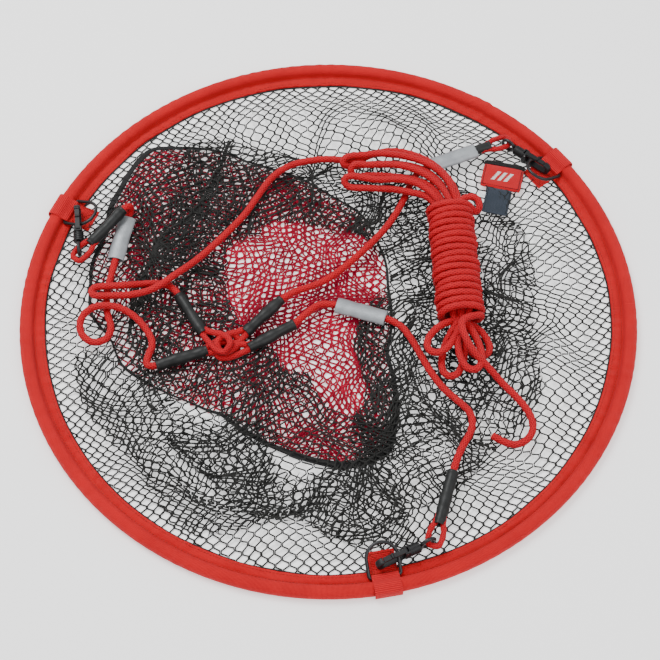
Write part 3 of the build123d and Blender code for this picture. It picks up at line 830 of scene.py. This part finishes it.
# Bearing, and how much of the tape's width in mm isn't rolled under.
TAPE_SEEN = [
    (-180, 2.6), (-110, 2.2), (-78, 4.6), (-62, 7.2), (-44, 6.6), (-20, 3.4), (20, 2.2), (90, 2.2),
    (125, 4.6), (150, 6.0), (180, 2.6),
]
seam_width = MM * np.interp(np.degrees(seam_turns), *zip(*TAPE_SEEN))
seam_width += 0.0006 * ring_noise(72, 3, 9, seam_turns)
flat_tape(seam_soup, seam, seam_side, np.clip(seam_width, 0.0016, 0.0078), 0.0009)
seam_tape = seam_soup.piece("base_seam_tape_sewn", [M["tape"]])
done(seam_tape, "base", ["base_seam_tape"])


# --- Cords ---

CORD_SIDES = 16


def braid_relief(s, around):
    """Low diamonds of a plaited cover."""
    along = 2 * math.pi * s / 0.0084
    return 0.00020 * (np.cos(4 * around + along) + np.cos(4 * around - along)) / 2 - 0.00005


def cord_mesh(name, path, radius):
    soup = Soup()
    add_tube(soup, path, radius, CORD_SIDES, relief=braid_relief, cap_slot=1)
    return soup.piece(name, [M["cord"], M["cord_end"]])


EYE_LIMB = {
    "bottom": (0.0950015, -0.246645, 0.0124),
    "right": (0.180374, 0.193194, 0.0124),
    "left": (-0.246024, 0.0551857, 0.0124),
}
LOOP_PULL = {"bottom": (0.273, 0.962, 0.0), "right": (-0.937, -0.349, 0.0), "left": (0.66, 0.75, 0.16)}
CLIP_SLEEVE = {"bottom": 0.050, "right": 0.012, "left": 0.044}
LOOP_LENGTH = 0.016
SLEEVE_R = 0.006


def on_pull(name, distance):
    return np.array(EYE_LIMB[name]) + unit(LOOP_PULL[name]) * distance


JUNCTION_SLEEVES = {
    "left": ((-0.116, -0.0525, CORD_Z), (-0.1632, -0.069, CORD_Z)),
    "right": ((-0.080, -0.033, CORD_Z), (-0.046, 0.0036, CORD_Z)),
    "bottom": ((-0.076, -0.050, CORD_Z), (-0.0334, -0.0239, CORD_Z)),
    "haul": ((-0.120, -0.034, CORD_Z), (-0.1457, 0.0089, CORD_Z)),
}
BRIDLE_ROUTES = {
    "bottom": [
        (0.117, -0.170, 0.012), (0.124, -0.153, CORD_Z), (0.134, -0.137, CORD_Z), (0.134, -0.120, CORD_Z),
        (0.123, -0.108, CORD_Z), (0.110, -0.096, CORD_Z), (0.099, -0.080, CORD_Z), (0.089, -0.060, CORD_Z),
        (0.080, -0.040, CORD_Z), (0.066, -0.019, CORD_Z), (-0.004, 0.0026, CORD_Z), (-0.019, -0.009, CORD_Z),
    ],
    "right": [
        (0.100, 0.1634, CORD_Z), (0.086, 0.149, CORD_Z), (0.079, 0.129, CORD_Z), (0.070, 0.108, CORD_Z),
        (0.056, 0.085, CORD_Z), (0.037, 0.063, CORD_Z), (0.017, 0.042, CORD_Z), (-0.003, 0.025, CORD_Z),
        (-0.022, 0.017, CORD_Z), (-0.036, 0.012, CORD_Z),
    ],
    "left": [
        (-0.2023, 0.1051, 0.0235), (-0.198, 0.1085, 0.019), (-0.199, 0.106, 0.012), (-0.203, 0.097, 0.0095),
        (-0.214, 0.029, 0.0105), (-0.2165, 0.008, CORD_Z), (-0.214, -0.013, CORD_Z), (-0.208, -0.028, CORD_Z),
        (-0.213, -0.042, CORD_Z), (-0.227, -0.045, CORD_Z), (-0.239, -0.034, 0.0125),
        (-0.239, -0.018, 0.0155), (-0.226, -0.0075, 0.0195), (-0.205, -0.0075, 0.0195),
        (-0.188, -0.015, 0.0145), (-0.175, -0.029, CORD_Z),
        (-0.167, -0.045, CORD_Z), (-0.1725, -0.060, CORD_Z), (-0.173, -0.071, CORD_Z),
    ],
}
# How far along each bridle, from its clip, the clip's weights and then the hoop's weights reach.
CLIP_REACH = {"bottom": 0.085, "right": 0.085, "left": 0.050}
HOOP_REACH = {"bottom": 0.200, "right": 0.190, "left": 0.150}
STEP = 0.0010


def weigh(obj, path, weights):
    """Works out a weight for each ring of a cord's mesh, and for its caps from the nearest point of the path;
    it sets nothing.
    """
    rings = np.repeat(weights, CORD_SIDES)
    caps = [weights[np.argmin(((path - point) ** 2).sum(1))] for point in points_of(obj)[len(rings) :]]


bridle_lines, bridle_pieces = {}, {}
for name in SIDES:
    start = on_pull(name, LOOP_LENGTH + CLIP_SLEEVE[name] + 0.0008)
    sleeve_end = JUNCTION_SLEEVES[name][1]
    line = nurbs_line("bridle_" + name, [tuple(start), *BRIDLE_ROUTES[name], sleeve_end], STEP)
    s = lengths_along(line)
    bridle_lines[name] = line
    cut = int(np.searchsorted(s, CLIP_REACH[name]))
    near, far = line[: cut + 1], line[cut:]
    clip_end = cord_mesh(f"bridle_{name}_clip_end", near, CORD_R)
    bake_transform(clip_end)
    weigh(clip_end, near, smooth(1 - s[: cut + 1] / s[cut]))
    main = cord_mesh(f"bridle_{name}_main", far, CORD_R)
    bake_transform(main)
    weigh(main, far, smooth(1 - (s[cut:] - s[cut]) / (HOOP_REACH[name] - s[cut])))
    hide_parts("bridle_" + name)
    bridle_pieces[name] = (clip_end, near, main, far)


# --- Haul line and its hank ---

HAUL_ROUTE = [
    (-0.1457, 0.0089, CORD_Z), (-0.151, 0.0175, CORD_Z), (-0.165, 0.023, CORD_Z), (-0.182, 0.021, 0.0125),
    (-0.197, 0.0155, 0.0195), (-0.212, 0.0145, 0.0195), (-0.2295, 0.0135, 0.0195), (-0.2295, 0.003, 0.0195),
    (-0.210, 0.0035, 0.0195), (-0.189, 0.005, 0.0185), (-0.168, 0.011, 0.020), (-0.150, 0.027, 0.020),
    (-0.134, 0.045, 0.0125), (-0.117, 0.063, CORD_Z), (-0.101, 0.082, CORD_Z), (-0.084, 0.103, CORD_Z),
    (-0.071, 0.127, CORD_Z), (-0.058, 0.150, CORD_Z), (-0.041, 0.164, CORD_Z), (-0.022, 0.170, CORD_Z),
    (-0.003, 0.171, 0.0135), (0.013, 0.165, 0.020), (0.026, 0.158, 0.024),
]
TAIL_ROUTE = [
    (0.136, -0.066, 0.0335), (0.150, -0.077, 0.024), (0.164, -0.090, 0.014), (0.178, -0.104, CORD_Z),
    (0.189, -0.121, CORD_Z), (0.191, -0.138, CORD_Z), (0.181, -0.151, CORD_Z), (0.166, -0.153, CORD_Z),
    (0.152, -0.143, CORD_Z),
]
BUNDLE_TOP = [(0.050, 0.1495), (0.072, 0.1490), (0.092, 0.143), (0.107, 0.132), (0.116, 0.117)]
BUNDLE_CORE = [(0.1215, 0.096), (0.1230, 0.070), (0.1245, 0.040), (0.1260, 0.008), (0.1270, -0.020)]
WRAP_TURNS = 17
WRAP_START, WRAP_END = np.array([0.121, 0.102]), np.array([0.127, -0.024])
WRAP_Z = 0.024


def bundle_line():
    line = np.array(BUNDLE_TOP + BUNDLE_CORE)
    tangent = normalized(np.gradient(line, axis=0))
    return line, np.stack([-tangent[:, 1], tangent[:, 0]], 1)


def hank_passes():
    """The line's runs back and forth along the hank, then its turns round it."""
    line, normal = bundle_line()
    top_offset = [0.0235, 0.0165, 0.0095, 0.0020, -0.0060, -0.0145, -0.0225]
    top_z = [0.0235, 0.0290, 0.0225, 0.0300, 0.0225, 0.0285, 0.0220]
    core = [(0.009, 0.0035), (0.0095, -0.0035), (0.003, -0.0035), (0.003, 0.0035),
            (-0.003, 0.0035), (-0.003, -0.0035), (-0.009, -0.0035), (-0.009, 0.0035)]
    top_count = len(BUNDLE_TOP)
    fans = [(-0.62, 0.050, 0.0270), (-0.20, 0.062, 0.0160), (0.16, 0.060, 0.0260), (0.50, 0.044, 0.0150)]
    left_reach = [0.034, 0.026, 0.032]
    points = []
    for strand in range(8):
        run = []
        for i, (place, side) in enumerate(zip(line, normal)):
            if i < top_count:
                if strand == 7:
                    continue
                blend_in = smooth((i - 1.0) / 4.0)
                off = top_offset[strand] * (1 - 0.50 * blend_in)
                z = top_z[strand] + (WRAP_Z - top_z[strand]) * 0.3 * blend_in
                wobble = 0.0012 * math.sin(2.3 * strand + 1.7 * i)
                run.append((*(place + side * (off + wobble)), z))
            else:
                a, b = core[strand]
                run.append((*(place + side * a), WRAP_Z + b))
        down = strand % 2 == 0
        points += run if down else run[::-1]
        if down:
            tilt, reach, z = fans[strand // 2]
            root = line[-1]
            ahead = np.array([math.sin(tilt), -math.cos(tilt)])
            aside = np.array([math.cos(tilt), math.sin(tilt)])
            for along_it, across_it, h in (
                (0.40, -1.0, 0.6), (0.75, -1.25, 1.0), (0.98, -0.85, 1.0), (1.05, 0.0, 1.0),
                (0.98, 0.85, 1.0), (0.75, 1.25, 1.0), (0.40, 1.0, 0.6),
            ):
                level = WRAP_Z + (z - WRAP_Z) * h
                spot = root + ahead * (reach * along_it) - aside * (across_it * 0.0088)
                points.append((*spot, level))
        elif strand < 7:
            k = strand // 2
            end, side = line[0], normal[0]
            back = np.array([-1.0, 0.12 * (k - 1)])
            first, second = top_offset[strand], top_offset[strand + 1]
            z0, z1 = top_z[strand], top_z[strand + 1]
            for along_it, t in (
                (0.45, 0.0), (0.85, -0.12), (1.05, 0.25), (1.05, 0.75), (0.85, 1.12), (0.45, 1.0),
            ):
                spot = end + back * (left_reach[k] * along_it) + side * (first + (second - first) * t)
                points.append((*spot, z0 + (z1 - z0) * t))
    return points


def wrap_turns():
    along = WRAP_END - WRAP_START
    length = np.linalg.norm(along)
    forward = along / length
    side = np.array([-forward[1], forward[0]])
    points = []
    per_turn = 12
    for k in range(WRAP_TURNS * per_turn + 1):
        t = k / (WRAP_TURNS * per_turn)
        a = math.pi * 0.15 + k * 2 * math.pi / per_turn
        wave = 1 + 0.035 * math.sin(k * 0.37) + 0.02 * math.sin(k * 0.11 + 1)
        shift = 0.0004 * math.sin(k * 0.9)
        spot = WRAP_START + forward * (t * length + shift) + side * (math.cos(a) * 0.0206 * wave)
        points.append((*spot, WRAP_Z + math.sin(a) * 0.0142))
    return points


haul_points = HAUL_ROUTE + hank_passes()
haul_points += [
    (0.1265, 0.104, 0.026), (0.137, 0.113, 0.030), (0.149, 0.1115, 0.030), (0.151, 0.1015, 0.027),
    (0.146, 0.098, 0.022),
]
haul_points += wrap_turns()
haul_points += [(0.124, -0.034, 0.039), (0.128, -0.052, 0.0385)] + TAIL_ROUTE
haul_path = nurbs_line("haul", haul_points, STEP)
haul = cord_mesh("haul_line_cord", haul_path, CORD_R)
done(haul, "base", ["haul_line", "hank_top_loops", "hank_wraps", "hank_tail"])


# --- Cord loops ---

loop_pieces = {}
for name in SIDES:
    pull = unit(LOOP_PULL[name])
    side = unit(np.cross(UP, pull))
    b = 0.0054
    half = [(0.026, 0.0027), (0.018, 0.0030), (0.011, 0.0058), (0.004, b + 0.0012), (-b, b)]
    route = [*half, (-b * 1.15, 0.0), *[(x, -y) for x, y in half[::-1]]]
    points = [tuple(np.array(EYE_LIMB[name]) + pull * x + side * y) for x, y in route]
    path = nurbs_line("loop_" + name, points, 0.0008)
    loop = cord_mesh(f"loop_{name}_cord", path, LOOP_R)
    done(loop, "clip_" + name, ["loop_" + name])
    loop_pieces[name] = (loop, path)

JUNCTION_MIDDLE = np.array([-0.0975, -0.0435])
# How far each loop rises, how far it reaches and which way it tilts.
JUNCTION_SHAPES = {
    "left": (-0.0020, 0.031, 0.0022), "right": (0.0022, 0.030, -0.0022),
    "bottom": (-0.0026, 0.031, -0.0022), "haul": (0.0050, 0.030, 0.0022),
}
# One leg of a loop: metres into the sleeve if negative, else a share of the reach; and half its gap.
JUNCTION_LEG = [
    (-0.014, 0.0013), (-0.004, 0.0016), (0.30, 0.0046), (0.60, 0.0074), (0.86, 0.0076), (1.03, 0.0042),
]
for index, (name, (inner_end, outer_end)) in enumerate(JUNCTION_SLEEVES.items()):
    start = np.array(inner_end)
    back = unit(np.array(outer_end) - start)
    middle_way = unit(JUNCTION_MIDDLE - start[:2]) * 0.6 - back[:2] * 0.4
    ahead = np.array([*unit(middle_way), 0.0])
    aside = np.array([-ahead[1], ahead[0], 0.0])
    rise, reach, tilt = JUNCTION_SHAPES[name]
    points = []
    for x, y in [*JUNCTION_LEG, *[(x, -y) for x, y in JUNCTION_LEG[::-1]]]:
        if x < 0:
            points.append(tuple(start + back * -x + unit(np.cross(UP, -back)) * y))
        else:
            level = CORD_Z + (rise + tilt * (1 if y > 0 else -1)) * smooth(x / 0.5)
            points.append(tuple(start + ahead * (x * reach) + aside * y + UP * (level - start[2])))
    path = nurbs_line("junction_" + name, points, 0.0009)
    loop = cord_mesh(f"junction_loop_{name}", path, JUNCTION_LOOP_R)
    done(loop, "base", ["junction_loops"] if index == 0 else [])


# --- Heat-shrink sleeves ---


def shrink_sleeve(name, first, last, body, node, seed):
    """Black tube shrunk over a folded cord: lumpy, thin-walled and open where the cord leaves."""
    first, last = np.array(first, float), np.array(last, float)
    length = np.linalg.norm(last - first)
    count = max(14, int(length / 0.0012))
    t = np.linspace(0, 1, count)
    path = first + (last - first) * t[:, None]
    rng = np.random.default_rng(seed)
    phase = rng.uniform(0, 6.28, 6)
    s = t * length
    out = SLEEVE_R - 0.0004 + 0.00035 * np.sin(s * 190 + phase[0]) + 0.0002 * np.sin(s * 520 + phase[1])
    ends = np.minimum(s, length - s)
    out = out - 0.0007 * (1 - smooth(ends / 0.006)) + 0.0006 * (1 - smooth(ends / 0.0016))
    wall = 0.0011
    direction = (last - first) / length

    def mouth(end, r, way):
        """The lip of an open end and a little of its inside, from the outside in."""
        lip = [(end + way * 0.0003, r - wall * 0.5), (end, r - wall)]
        return lip + [(end - way * d, r - wall - 0.0001) for d in (0.002, 0.005)]

    shape = [
        *mouth(path[0], out[0], -direction)[::-1], *zip(path, out), *mouth(path[-1], out[-1], direction),
    ]
    sides = 32
    side = unit(np.cross(UP, direction))
    up = np.cross(direction, side)
    around = np.arange(sides) * 2 * math.pi / sides
    rows = []
    for k, (place, r) in enumerate(shape):
        squash_it = 1 + 0.05 * math.cos(k * 0.21 + phase[2])
        rr = r * (1 + 0.012 * np.sin(3 * around + phase[3] + k * 0.15))
        wide, tall = np.cos(around) * rr * squash_it, np.sin(around) * rr / squash_it
        rows.append(place + side * wide[:, None] + up * tall[:, None])
    verts = np.stack(rows)
    uvs = grid_uvs(lengths_along(verts[:, 0]), np.arange(sides + 1) / sides, True)
    piece = mesh_piece(name, verts.reshape(-1, 3), grid_faces(len(verts), sides, True), [M["shrink"]], uvs)
    return done(piece, body, [node])


for seed, name in enumerate(SIDES):
    shrink_sleeve(
        f"clip_sleeve_{name}_shrunk", on_pull(name, LOOP_LENGTH - 0.001),
        on_pull(name, LOOP_LENGTH + CLIP_SLEEVE[name] + 0.003),
        "clip_" + name, "clip_sleeve_" + name, 80 + seed,
    )
for seed, (name, (inner_end, outer_end)) in enumerate(JUNCTION_SLEEVES.items()):
    node = "junction_sleeve_" + name
    shrink_sleeve(node + "_shrunk", inner_end, outer_end, "base", node, 90 + seed)


# --- Grey reflective sleeves ---


def grey_sleeve(name, line, begin, length, seed, width=0.0168, tall=0.0088):
    """A flattened tube of reflective fabric round a cord's own line."""
    s = lengths_along(line)
    steps = 48
    places = np.linspace(begin, begin + length, steps)
    path = np.stack([np.interp(places, s, line[:, k]) for k in range(3)], 1)
    chord = path[-1] - path[0]
    straight = path[0] + chord * np.linspace(0, 1, steps)[:, None]
    path = 0.25 * path + 0.75 * straight
    tangent = normalized(np.gradient(path, axis=0))
    side = normalized(np.cross(UP, tangent))
    up = np.cross(tangent, side)
    count = 44
    around = np.arange(count) * 2 * math.pi / count
    c, q = np.cos(around), np.sin(around)
    lens_x = np.sign(c) * np.abs(c) ** 0.9
    lens_z = np.sign(q) * np.abs(q) ** 1.25
    turn = np.linspace(0, 2.2, steps)
    crease, ripple = ring_noise(seed, 2, 7, turn), ring_noise(seed + 1, 3, 9, turn)
    rows = []
    for shrink in (0.0, 0.0005):
        w = (width / 2 - shrink + 0.0002 * crease)[:, None] * lens_x
        h = (tall / 2 - shrink + 0.00025 * ripple)[:, None] * lens_z
        rows.append(path[:, None] + side[:, None] * w[..., None] + up[:, None] * h[..., None])
    outer, inner = rows
    verts = np.concatenate([inner[:6][::-1], outer, inner[-6:][::-1]])
    uvs = grid_uvs(lengths_along(verts[:, 0]), np.arange(count + 1) / count * 0.044, True)
    return mesh_piece(name, verts.reshape(-1, 3), grid_faces(len(verts), count, True), [M["grey"]], uvs)


right_grey = grey_sleeve("grey_sleeve_right_fabric", bridle_lines["right"], 0.002, 0.050, 101)
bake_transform(right_grey)
left_grey = grey_sleeve("grey_sleeve_left_fabric", bridle_lines["left"], 0.026, 0.050, 103)
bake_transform(left_grey)
bottom_s = lengths_along(bridle_lines["bottom"])
from_end = np.argmin(np.linalg.norm(bridle_lines["bottom"][:, :2] - np.array([0.0562, -0.016]), axis=1))
bottom_grey = grey_sleeve("grey_sleeve_bottom_fabric", bridle_lines["bottom"], bottom_s[from_end], 0.050, 105)
done(bottom_grey, "base", ["grey_sleeve_bottom"])
for piece, node in ((right_grey, "grey_sleeve_right"), (left_grey, "grey_sleeve_left")):
    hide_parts(node)


# --- Webbing tabs ---

TAB_PATH = [
    (0.3010, 0.0028), (0.3011, 0.0055), (0.3010, 0.0085), (0.3000, 0.0108), (0.2978, 0.0120),
    (0.2935, 0.0121), (0.2908, 0.0114), (0.2888, 0.0096), (0.2866, 0.0081), (0.2830, 0.0077),
    (0.2812, 0.0070), (0.2805, 0.0053), (0.2812, 0.0036), (0.2830, 0.0029), (0.2770, 0.0028),
    (0.2700, 0.0029), (0.2640, 0.0027), (0.2572, 0.0025),
]


STIFF_TAPE = [(-1.0, 0.0), (-0.985, 0.4), (-0.94, 0.5), (-0.5, 0.48), (0.0, 0.5), (0.5, 0.48), (0.94, 0.5)]
STIFF_TAPE += [(0.985, 0.4), (1.0, 0.0), (0.985, -0.4), (0.94, -0.5), (0.5, -0.5), (0.0, -0.5), (-0.5, -0.5)]
STIFF_TAPE += [(-0.94, -0.5), (-0.985, -0.4)]


def radial_tape(soup, path, angle_deg, width, thick):
    """A tape whose line lies in a radial plane and whose width runs round the hoop."""
    out, side = axes_at(math.radians(angle_deg))
    line = nurbs_line("strip", [(r, 0.0, z) for r, z in path], 0.0006)
    tangent = normalized(np.gradient(line, axis=0))
    normal = np.stack([-tangent[:, 2], np.zeros(len(line)), tangent[:, 0]], 1)
    half = width / 2
    wavy = 1 + 0.008 * np.sin(np.arange(len(line)) * 0.35)
    rows = []
    for b, c in STIFF_TAPE:
        place = line + normal * (c * thick)
        world = place[:, :1] * out + place[:, 2:] * UP
        rows.append(world + side * (b * half * wavy)[:, None])
    verts = add_tape(soup, rows, line, STIFF_TAPE, half, thick)
    corners = list(range(len(STIFF_TAPE)))
    soup.add(verts[0], [corners[::-1]], [(0.0, 0.0)] * len(corners))
    soup.add(verts[-1], [corners], [(0.0, 0.0)] * len(corners))


def thread_line(soup, points, pitch, slot):
    """Separate stitches along a line."""
    low = UP * 0.0003
    line = resample(np.array(points, float), pitch)
    for a, b in zip(line, line[1:]):
        p, q = a + (b - a) * 0.08, a + (b - a) * 0.92
        stitch = [p - low, p + (q - p) * 0.2, (p + q) / 2 + low * 0.4, p + (q - p) * 0.8, q - low]
        add_tube(soup, stitch, THREAD_R, 6, slot)


for name in SIDES:
    soup = Soup()
    radial_tape(soup, TAB_PATH, TAB_ANGLE[name], 0.025, 0.0014)
    out, side = axes_at(math.radians(TAB_ANGLE[name]))
    corners = ((0.2595, -0.0105), (0.2785, -0.0105), (0.2785, 0.0105), (0.2595, 0.0105), (0.2595, -0.0105))
    box = [out * r + side * y + UP * 0.0037 for r, y in corners]
    for p, q in [*zip(box, box[1:]), (box[0], box[2]), (box[1], box[3])]:
        thread_line(soup, [p, q], 0.0024, 1)
    tab = soup.piece(f"tab_{name}_webbing", [M["webbing"], M["rim_thread"]])
    done(tab, "hoop", ["tab_" + name])


# --- Storage strap ---

HINGE = np.array([0.1817, 0.1695, 0.0])
ux, uy = axes_at(math.radians(-103.3))


def on_strap(x, y, z):
    return HINGE + ux * x + uy * y + UP * z


def pad(soup, x_range, y_range, z_range, power, cells, mark=None):
    """A thin stuffed panel with soft edges. Top faces that mark picks get the second slot."""
    x0, x1 = x_range
    y0, y1 = y_range
    z0, z1 = z_range
    t = np.sin(np.linspace(-math.pi / 2, math.pi / 2, cells + 1))
    gx, gy = np.meshgrid(t, t, indexing="ij")
    rise = (1 - np.abs(gx) ** power) ** 0.5 * (1 - np.abs(gy) ** power) ** 0.5
    ix, iy = 1 - 0.035 * np.abs(gy) ** 6, 1 - 0.035 * np.abs(gx) ** 6
    cx, cy = (x0 + x1) / 2, (y0 + y1) / 2
    px, py = cx + gx * ix * (x1 - x0) / 2, cy + gy * iy * (y1 - y0) / 2
    ripple_it = 1 + 0.10 * np.sin(gx * 5 + 1) * np.sin(gy * 4)
    middle = z0 + (z1 - z0) * 0.35
    for face_up in (True, False):
        tall = (z1 - middle) * 0.9 if face_up else -(middle - z0)
        pz = middle + tall * rise * (ripple_it if face_up else 1)
        verts = HINGE + px[..., None] * ux + py[..., None] * uy + pz[..., None] * UP
        faces = grid_faces(cells + 1, cells + 1, False)
        uvs = grid_uvs(t * (x1 - x0) / 2, t * (y1 - y0) / 2, False)
        if not face_up:
            faces, uvs = faces[:, ::-1], uvs[:, ::-1]
        marked = np.array([bool(face_up and mark and mark(*uv.mean(0))) for uv in uvs])
        order = np.argsort(marked, kind="stable")
        soup.add(verts.reshape(-1, 3), faces[order], uvs[order], marked[order].astype(int).tolist())


def three_bars(x, y):
    """A plain mark: three slanting bars."""
    place = y + 0.5 * x
    return abs(x) < 0.0052 and any(abs(place - c) < 0.0017 for c in (-0.0065, 0.0, 0.0065))


band = Soup()
pad(band, (0.0035, 0.0322), (-0.0208, 0.0208), (0.0043, 0.0090), 8, 72, three_bars)
for y in (-0.0185, 0.0185):
    thread_line(band, [on_strap(0.006, y, 0.0083), on_strap(0.0300, y, 0.0083)], 0.0023, 2)
thread_line(band, [on_strap(0.0300, -0.0185, 0.0083), on_strap(0.0300, 0.0185, 0.0083)], 0.0023, 2)
strap_band = band.piece("strap_band_padded", [M["strap"], M["strap_mark"], M["tape"]])
done(strap_band, "strap", ["strap_band"])

binding = Soup()
pad(binding, (-0.0004, 0.0050), (-0.0212, 0.0212), (0.0040, 0.0096), 6, 40)
zigzag = []
for k in range(29):
    zigzag.append(on_strap(0.0010 if k % 2 else 0.0037, -0.0200 + 0.0400 * k / 28, 0.0094))
for p, q in zip(zigzag, zigzag[1:]):
    add_tube(binding, [p - (0, 0, 0.0004), p, (p + q) / 2, q, q - (0, 0, 0.0004)], THREAD_R, 6, 1)
strap_binding = binding.piece("strap_binding_sewn", [M["tape"], M["net"]])
done(strap_binding, "strap", ["strap_binding"])

tape = Soup()
pad(tape, (0.0315, 0.0632), (-0.0130, 0.0130), (0.0052, 0.0072), 20, 48)
for i in range(21):
    for j in range(17):
        x, y = 0.0350 + i * 0.00132, -0.0113 + j * 0.00141 + (0.0004 if i % 2 else 0)
        root = on_strap(x, y, 0.0068)
        lean = ux * 0.0005 * (1 if j % 2 else -1)
        hook = [root, root + UP * 0.0008, root + lean * 0.7 + UP * 0.0012, root + lean * 1.5 + UP * 0.0010]
        add_tube(tape, hook, 0.00013, 4)
for y in (-0.0112, 0.0112):
    thread_line(tape, [on_strap(0.0335, y, 0.0074), on_strap(0.0615, y, 0.0074)], 0.0024, 1)
hook_tape = tape.piece("strap_hook_tape_sewn", [M["hooks"], M["tape"]])
done(hook_tape, "strap", ["strap_hook_tape"])


# --- Cord pieces unpacked and the net's strand areas worked out, not used further ---


for name in SIDES:
    clip_end, near, main, far = bridle_pieces[name]
    loop, path = loop_pieces[name]


def strand_area(outline, pitch, row, radius):
    """Flat area of a net's strands, each as a tape of the same surface; the openings are left out."""
    per_row = row / 2 + math.hypot(row / 2, pitch - MEETING_GAP * radius)
    return outline * per_row / (row * pitch) * math.pi * radius


def region_area(inside, twist_deg=0, part=0, parts=1):
    """Area of a layer's region, or of one strip of it, counted on a fine grid."""
    step = MM
    line = np.arange(-NET_REACH, NET_REACH, step)
    points = np.stack(np.meshgrid(line, line), -1).reshape(-1, 2)
    twist = math.radians(twist_deg)
    across = points[:, 0] * math.cos(twist) + points[:, 1] * math.sin(twist)
    share = np.clip(((across + NET_REACH) / (2 * NET_REACH) * parts).astype(int), 0, parts - 1)
    return float((inside(points) & (share == part)).sum()) * step**2


WALL_FLATS = {
    "outer": [(0.180, 0.500), (0.220, 0.560), (0.190, 0.500)], "folded": [(0.220, 0.370), (0.220, 0.410)],
    "under": [(0.170, 0.330)], "slack": [(0.110, 0.340)],
}
wall_left = iter(wall_pieces)
for label, region, pitch, row, twist, *_, parts in WALL_LAYERS:
    for part, flat in enumerate(WALL_FLATS[label]):
        strands = strand_area(region_area(region, twist, part, parts), pitch, row, TWINE_R)
        next(wall_left)
BASE_FLATS = [(0.300, 0.365), (0.280, 0.355)]
for piece, (label, region, pitch, row, *_), flat in zip(base_pieces, BASE_LAYERS, BASE_FLATS):
    strands = strand_area(region_area(region), pitch, row, RED_TWINE_R)


# --- Floor, light and camera ---

bpy.ops.mesh.primitive_plane_add(size=12, location=(0, 0, 0))
floor = bpy.context.object
floor.name = "floor"
paper = Nodes("paper_floor")
paper.tint(paper.noise(3, 2), (1.0, 1.0, 1.0), [(0.3, 0.92), (0.7, 0.94)])
paper.set(Roughness=0.9, Emission_Color=(1.0, 1.0, 1.0, 1.0), Emission_Strength=0.55)
floor.data.materials.append(paper.material)

world = bpy.data.worlds.new("studio")
bpy.context.scene.world = world
world.use_nodes = True
background = world.node_tree.nodes["Background"].inputs
background["Color"].default_value = (1.0, 1.0, 1.0, 1.0)
background["Strength"].default_value = 0.85


def area_light(name, place, power, size):
    light = bpy.data.lights.new(name, "AREA")
    light.energy, light.size = power, size
    obj = bpy.data.objects.new(name, light)
    obj.location = place
    obj.rotation_euler = (Vector((0, 0, 0)) - Vector(place)).to_track_quat("-Z", "Y").to_euler()
    bpy.context.scene.collection.objects.link(obj)


area_light("key", (-1.0, 0.9, 2.2), 62, 1.4)
area_light("fill", (1.4, -1.2, 1.9), 28, 1.8)

camera_data = bpy.data.cameras.new("camera")
camera_data.lens = 85.2
camera_data.sensor_width = 36
camera = bpy.data.objects.new("camera", camera_data)
camera.location = (0.00158, -0.7793, 1.3137)
camera.rotation_euler = (math.radians(29.91), 0, 0)
bpy.context.scene.collection.objects.link(camera)
bpy.context.scene.camera = camera
